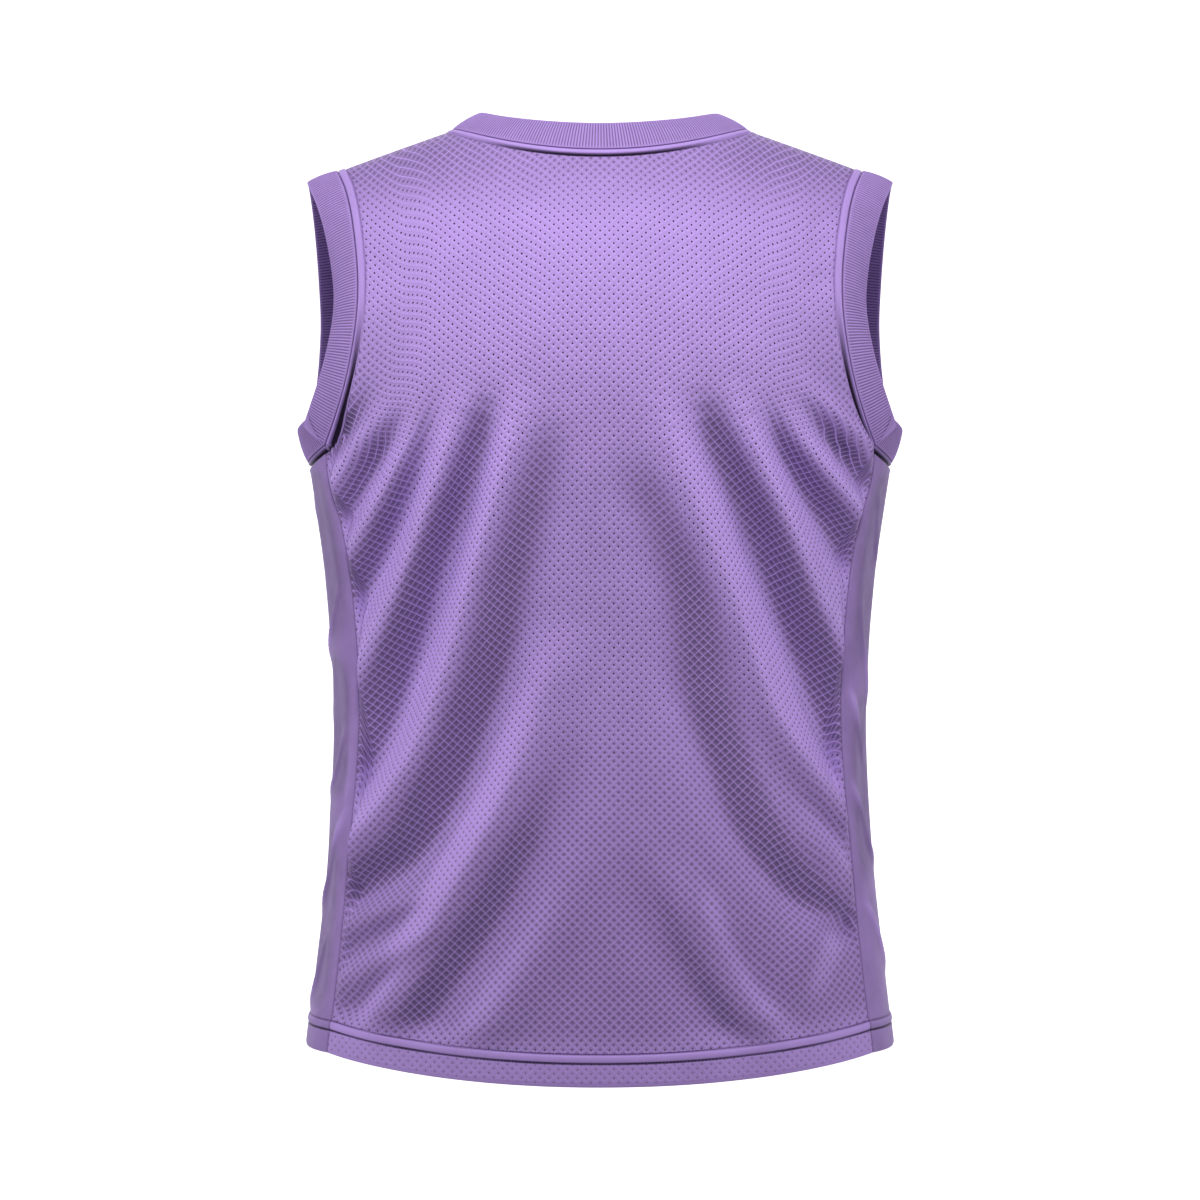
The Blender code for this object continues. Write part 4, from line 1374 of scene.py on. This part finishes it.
class JERSEY_OT_armbands(Operator):
    """Make the ribbed bands of the two armholes"""

    bl_idname = "jersey.armbands"
    bl_label = "Armhole Bands"

    def execute(self, context):
        cut = context.scene.jersey_cut
        pitch, relief = cut.rib_pitch / MM, cut.rib_relief / MM
        for name, hand in (("left", 1), ("right", -1)):
            band = "armband_" + name
            piece, length = ring_band(band + "_rib", armhole_line(), hand, ARMBAND_LEANS, pitch, relief)
            finished(piece, band, material_for("ribbed_knit", ribbed_knit))
            length * MM
        return {"FINISHED"}


class JERSEY_OT_topstitching(Operator):
    """Sew the topstitching beside the neck and armhole seams and at the hem"""

    bl_idname = "jersey.topstitching"
    bl_label = "Topstitching"

    def execute(self, context):
        cut = context.scene.jersey_cut
        names = ("back_cloth", "front_cloth", "side_left_cloth", "side_right_cloth")
        cloths = [bpy.data.objects[name] for name in names]
        pitch, length, width = cut.stitch_pitch / MM, cut.stitch_length / MM, cut.thread_width / MM
        armhole = beside(armhole_line(), -(STRIP_WIDTH + 0.5))
        flip = np.array([-1, 1, 1])
        lines = {
            "neck_stitches": [beside(neck_line(), NECK_STRIP_WIDTH - 0.3)],
            "armhole_stitches": [armhole, tuple(part * flip for part in armhole)],
            "hem_stitches": [along_hem(WELT_LOW - 0.3), along_hem(WELT_HIGH + 0.3)],
        }
        for name, rows in lines.items():
            placed = [stitch_row(on_cloth(p, u, cloths), u, pitch, length) for p, u in rows]
            piece = stitches(name, placed, length, width)
            finished(piece, None, material_for("sewing_thread", thread))
        return {"FINISHED"}


# The stage, in metres and degrees

CAMERA_HEIGHT = -0.3557
LIT_HEIGHT = -0.35
FLOOR_HEIGHT = -1.5
FLOOR_WIDTH = 6.0
FLOOR_FRONT = 3.5
WALL_PLACE = -2.8
WALL_RISE = 3.5
CORNER = 0.8

Light = namedtuple("Light", "name turn rise distance size power share")
LIGHTS = (
    Light("key", 0, 68, 3.0, 1.0, "key_power", 1.0),
    Light("upper", 0, 50, 1.3, 0.6, "upper_power", 1.0),
    Light("front", 0, 35, 1.3, 0.8, "front_power", 1.0),
    Light("high_left", 70, 25, 1.8, 0.8, "high_side_power", 1.15),
    Light("low_left", 85, -20, 1.6, 0.8, "low_side_power", 1.0),
    Light("high_right", -70, 25, 1.8, 0.8, "high_side_power", 0.85),
    Light("low_right", -85, -20, 1.6, 0.8, "low_side_power", 1.0),
)


class JERSEY_OT_stage(Operator):
    """Set the camera, the soft lights, and the pale floor and backdrop"""

    bl_idname = "jersey.stage"
    bl_label = "Stage"

    def execute(self, context):
        settings = context.scene.jersey_stage
        data = bpy.data.cameras.new("camera")
        data.sensor_width = 36.0
        data.lens = 36.0 * settings.camera_distance / settings.frame_width
        camera = bpy.data.objects.new("camera", data)
        camera.location = (0.0, settings.camera_distance, CAMERA_HEIGHT)
        camera.rotation_euler = (math.radians(90), 0.0, math.radians(180))
        context.scene.collection.objects.link(camera)
        context.scene.camera = camera

        for row in LIGHTS:
            soft_light(row, getattr(settings, row.power) * row.share)

        world = bpy.data.worlds.new("studio")
        world.use_nodes = True
        room = world.node_tree.nodes["Background"]
        room.inputs["Color"].default_value = (0.96, 0.96, 0.98, 1.0)
        room.inputs["Strength"].default_value = settings.world_light
        context.scene.world = world
        context.scene.view_settings.view_transform = "Standard"

        backdrop()
        return {"FINISHED"}


def soft_light(row, power):
    """A soft round light, turned from behind the jersey to its left and raised, in degrees."""
    data = bpy.data.lights.new(row.name, "AREA")
    data.shape, data.size, data.energy = "DISK", row.size, power
    light = bpy.data.objects.new(row.name, data)
    turn, rise = math.radians(row.turn), math.radians(row.rise)
    way = Vector((math.sin(turn) * math.cos(rise), math.cos(turn) * math.cos(rise), math.sin(rise)))
    light.location = Vector((0, 0, LIT_HEIGHT)) + way * row.distance
    light.rotation_euler = way.to_track_quat("Z", "Y").to_euler()
    bpy.context.scene.collection.objects.link(light)


def backdrop():
    """A pale floor that curves up into a wall behind the jersey."""
    clear_selection()
    bpy.ops.mesh.primitive_grid_add(x_subdivisions=2, y_subdivisions=24, size=1)
    sweep = bpy.context.object
    sweep.name = sweep.data.name = "backdrop"
    for vertex in sweep.data.vertices:
        share = vertex.co.y + 0.5
        if share < 0.3:
            y = FLOOR_FRONT - share / 0.3 * (FLOOR_FRONT - WALL_PLACE - CORNER)
            z = FLOOR_HEIGHT
        elif share < 0.8:
            angle = (share - 0.3) / 0.5 * math.pi / 2
            y = WALL_PLACE + CORNER - CORNER * math.sin(angle)
            z = FLOOR_HEIGHT + CORNER - CORNER * math.cos(angle)
        else:
            y, z = WALL_PLACE, FLOOR_HEIGHT + CORNER + (share - 0.8) / 0.2 * WALL_RISE
        vertex.co = (vertex.co.x * FLOOR_WIDTH, y, z)
    bpy.ops.object.shade_smooth()
    for name, glow in (("pale_floor", 0.0), ("pale_wall", 1.0)):
        material = bpy.data.materials.new(name)
        material.use_nodes = True
        shader = material.node_tree.nodes["Principled BSDF"]
        shader.inputs["Base Color"].default_value = (0.9, 0.9, 0.9, 1.0)
        shader.inputs["Roughness"].default_value = 0.9
        shader.inputs["Emission Color"].default_value = (1.0, 1.0, 1.0, 1.0)
        shader.inputs["Emission Strength"].default_value = glow
        sweep.data.materials.append(material)
    for face in sweep.data.polygons:
        face.material_index = 1 if face.center.z > FLOOR_HEIGHT + 0.01 else 0


class JERSEY_PT_sidebar(Panel):
    """The jersey's pieces, sizes and colours"""

    bl_label = "Jersey"
    bl_idname = "JERSEY_PT_sidebar"
    bl_space_type = "VIEW_3D"
    bl_region_type = "UI"
    bl_category = "Jersey"

    def draw(self, context):
        scene = context.scene
        for group in (scene.jersey_cut, scene.jersey_look, scene.jersey_stage):
            box = self.layout.box()
            for name in group.__annotations__:
                box.prop(group, name)
        for operator in OPERATORS:
            self.layout.operator(operator.bl_idname)


OPERATORS = (
    JERSEY_OT_panels,
    JERSEY_OT_side_panels,
    JERSEY_OT_collar,
    JERSEY_OT_armbands,
    JERSEY_OT_topstitching,
    JERSEY_OT_stage,
)
CLASSES = (JerseyCut, JerseyLook, JerseyStage, *OPERATORS, JERSEY_PT_sidebar)


def register():
    for cls in CLASSES:
        bpy.utils.register_class(cls)
    bpy.types.Scene.jersey_cut = PointerProperty(type=JerseyCut)
    bpy.types.Scene.jersey_look = PointerProperty(type=JerseyLook)
    bpy.types.Scene.jersey_stage = PointerProperty(type=JerseyStage)


def unregister():
    del bpy.types.Scene.jersey_stage
    del bpy.types.Scene.jersey_look
    del bpy.types.Scene.jersey_cut
    for cls in reversed(CLASSES):
        bpy.utils.unregister_class(cls)


def main():
    register()
    clear_selection()
    bpy.ops.jersey.stage()
    bpy.ops.jersey.panels()
    bpy.ops.jersey.side_panels()
    bpy.ops.jersey.collar()
    bpy.ops.jersey.armbands()
    bpy.ops.jersey.topstitching()


if __name__ == "__main__":
    main()
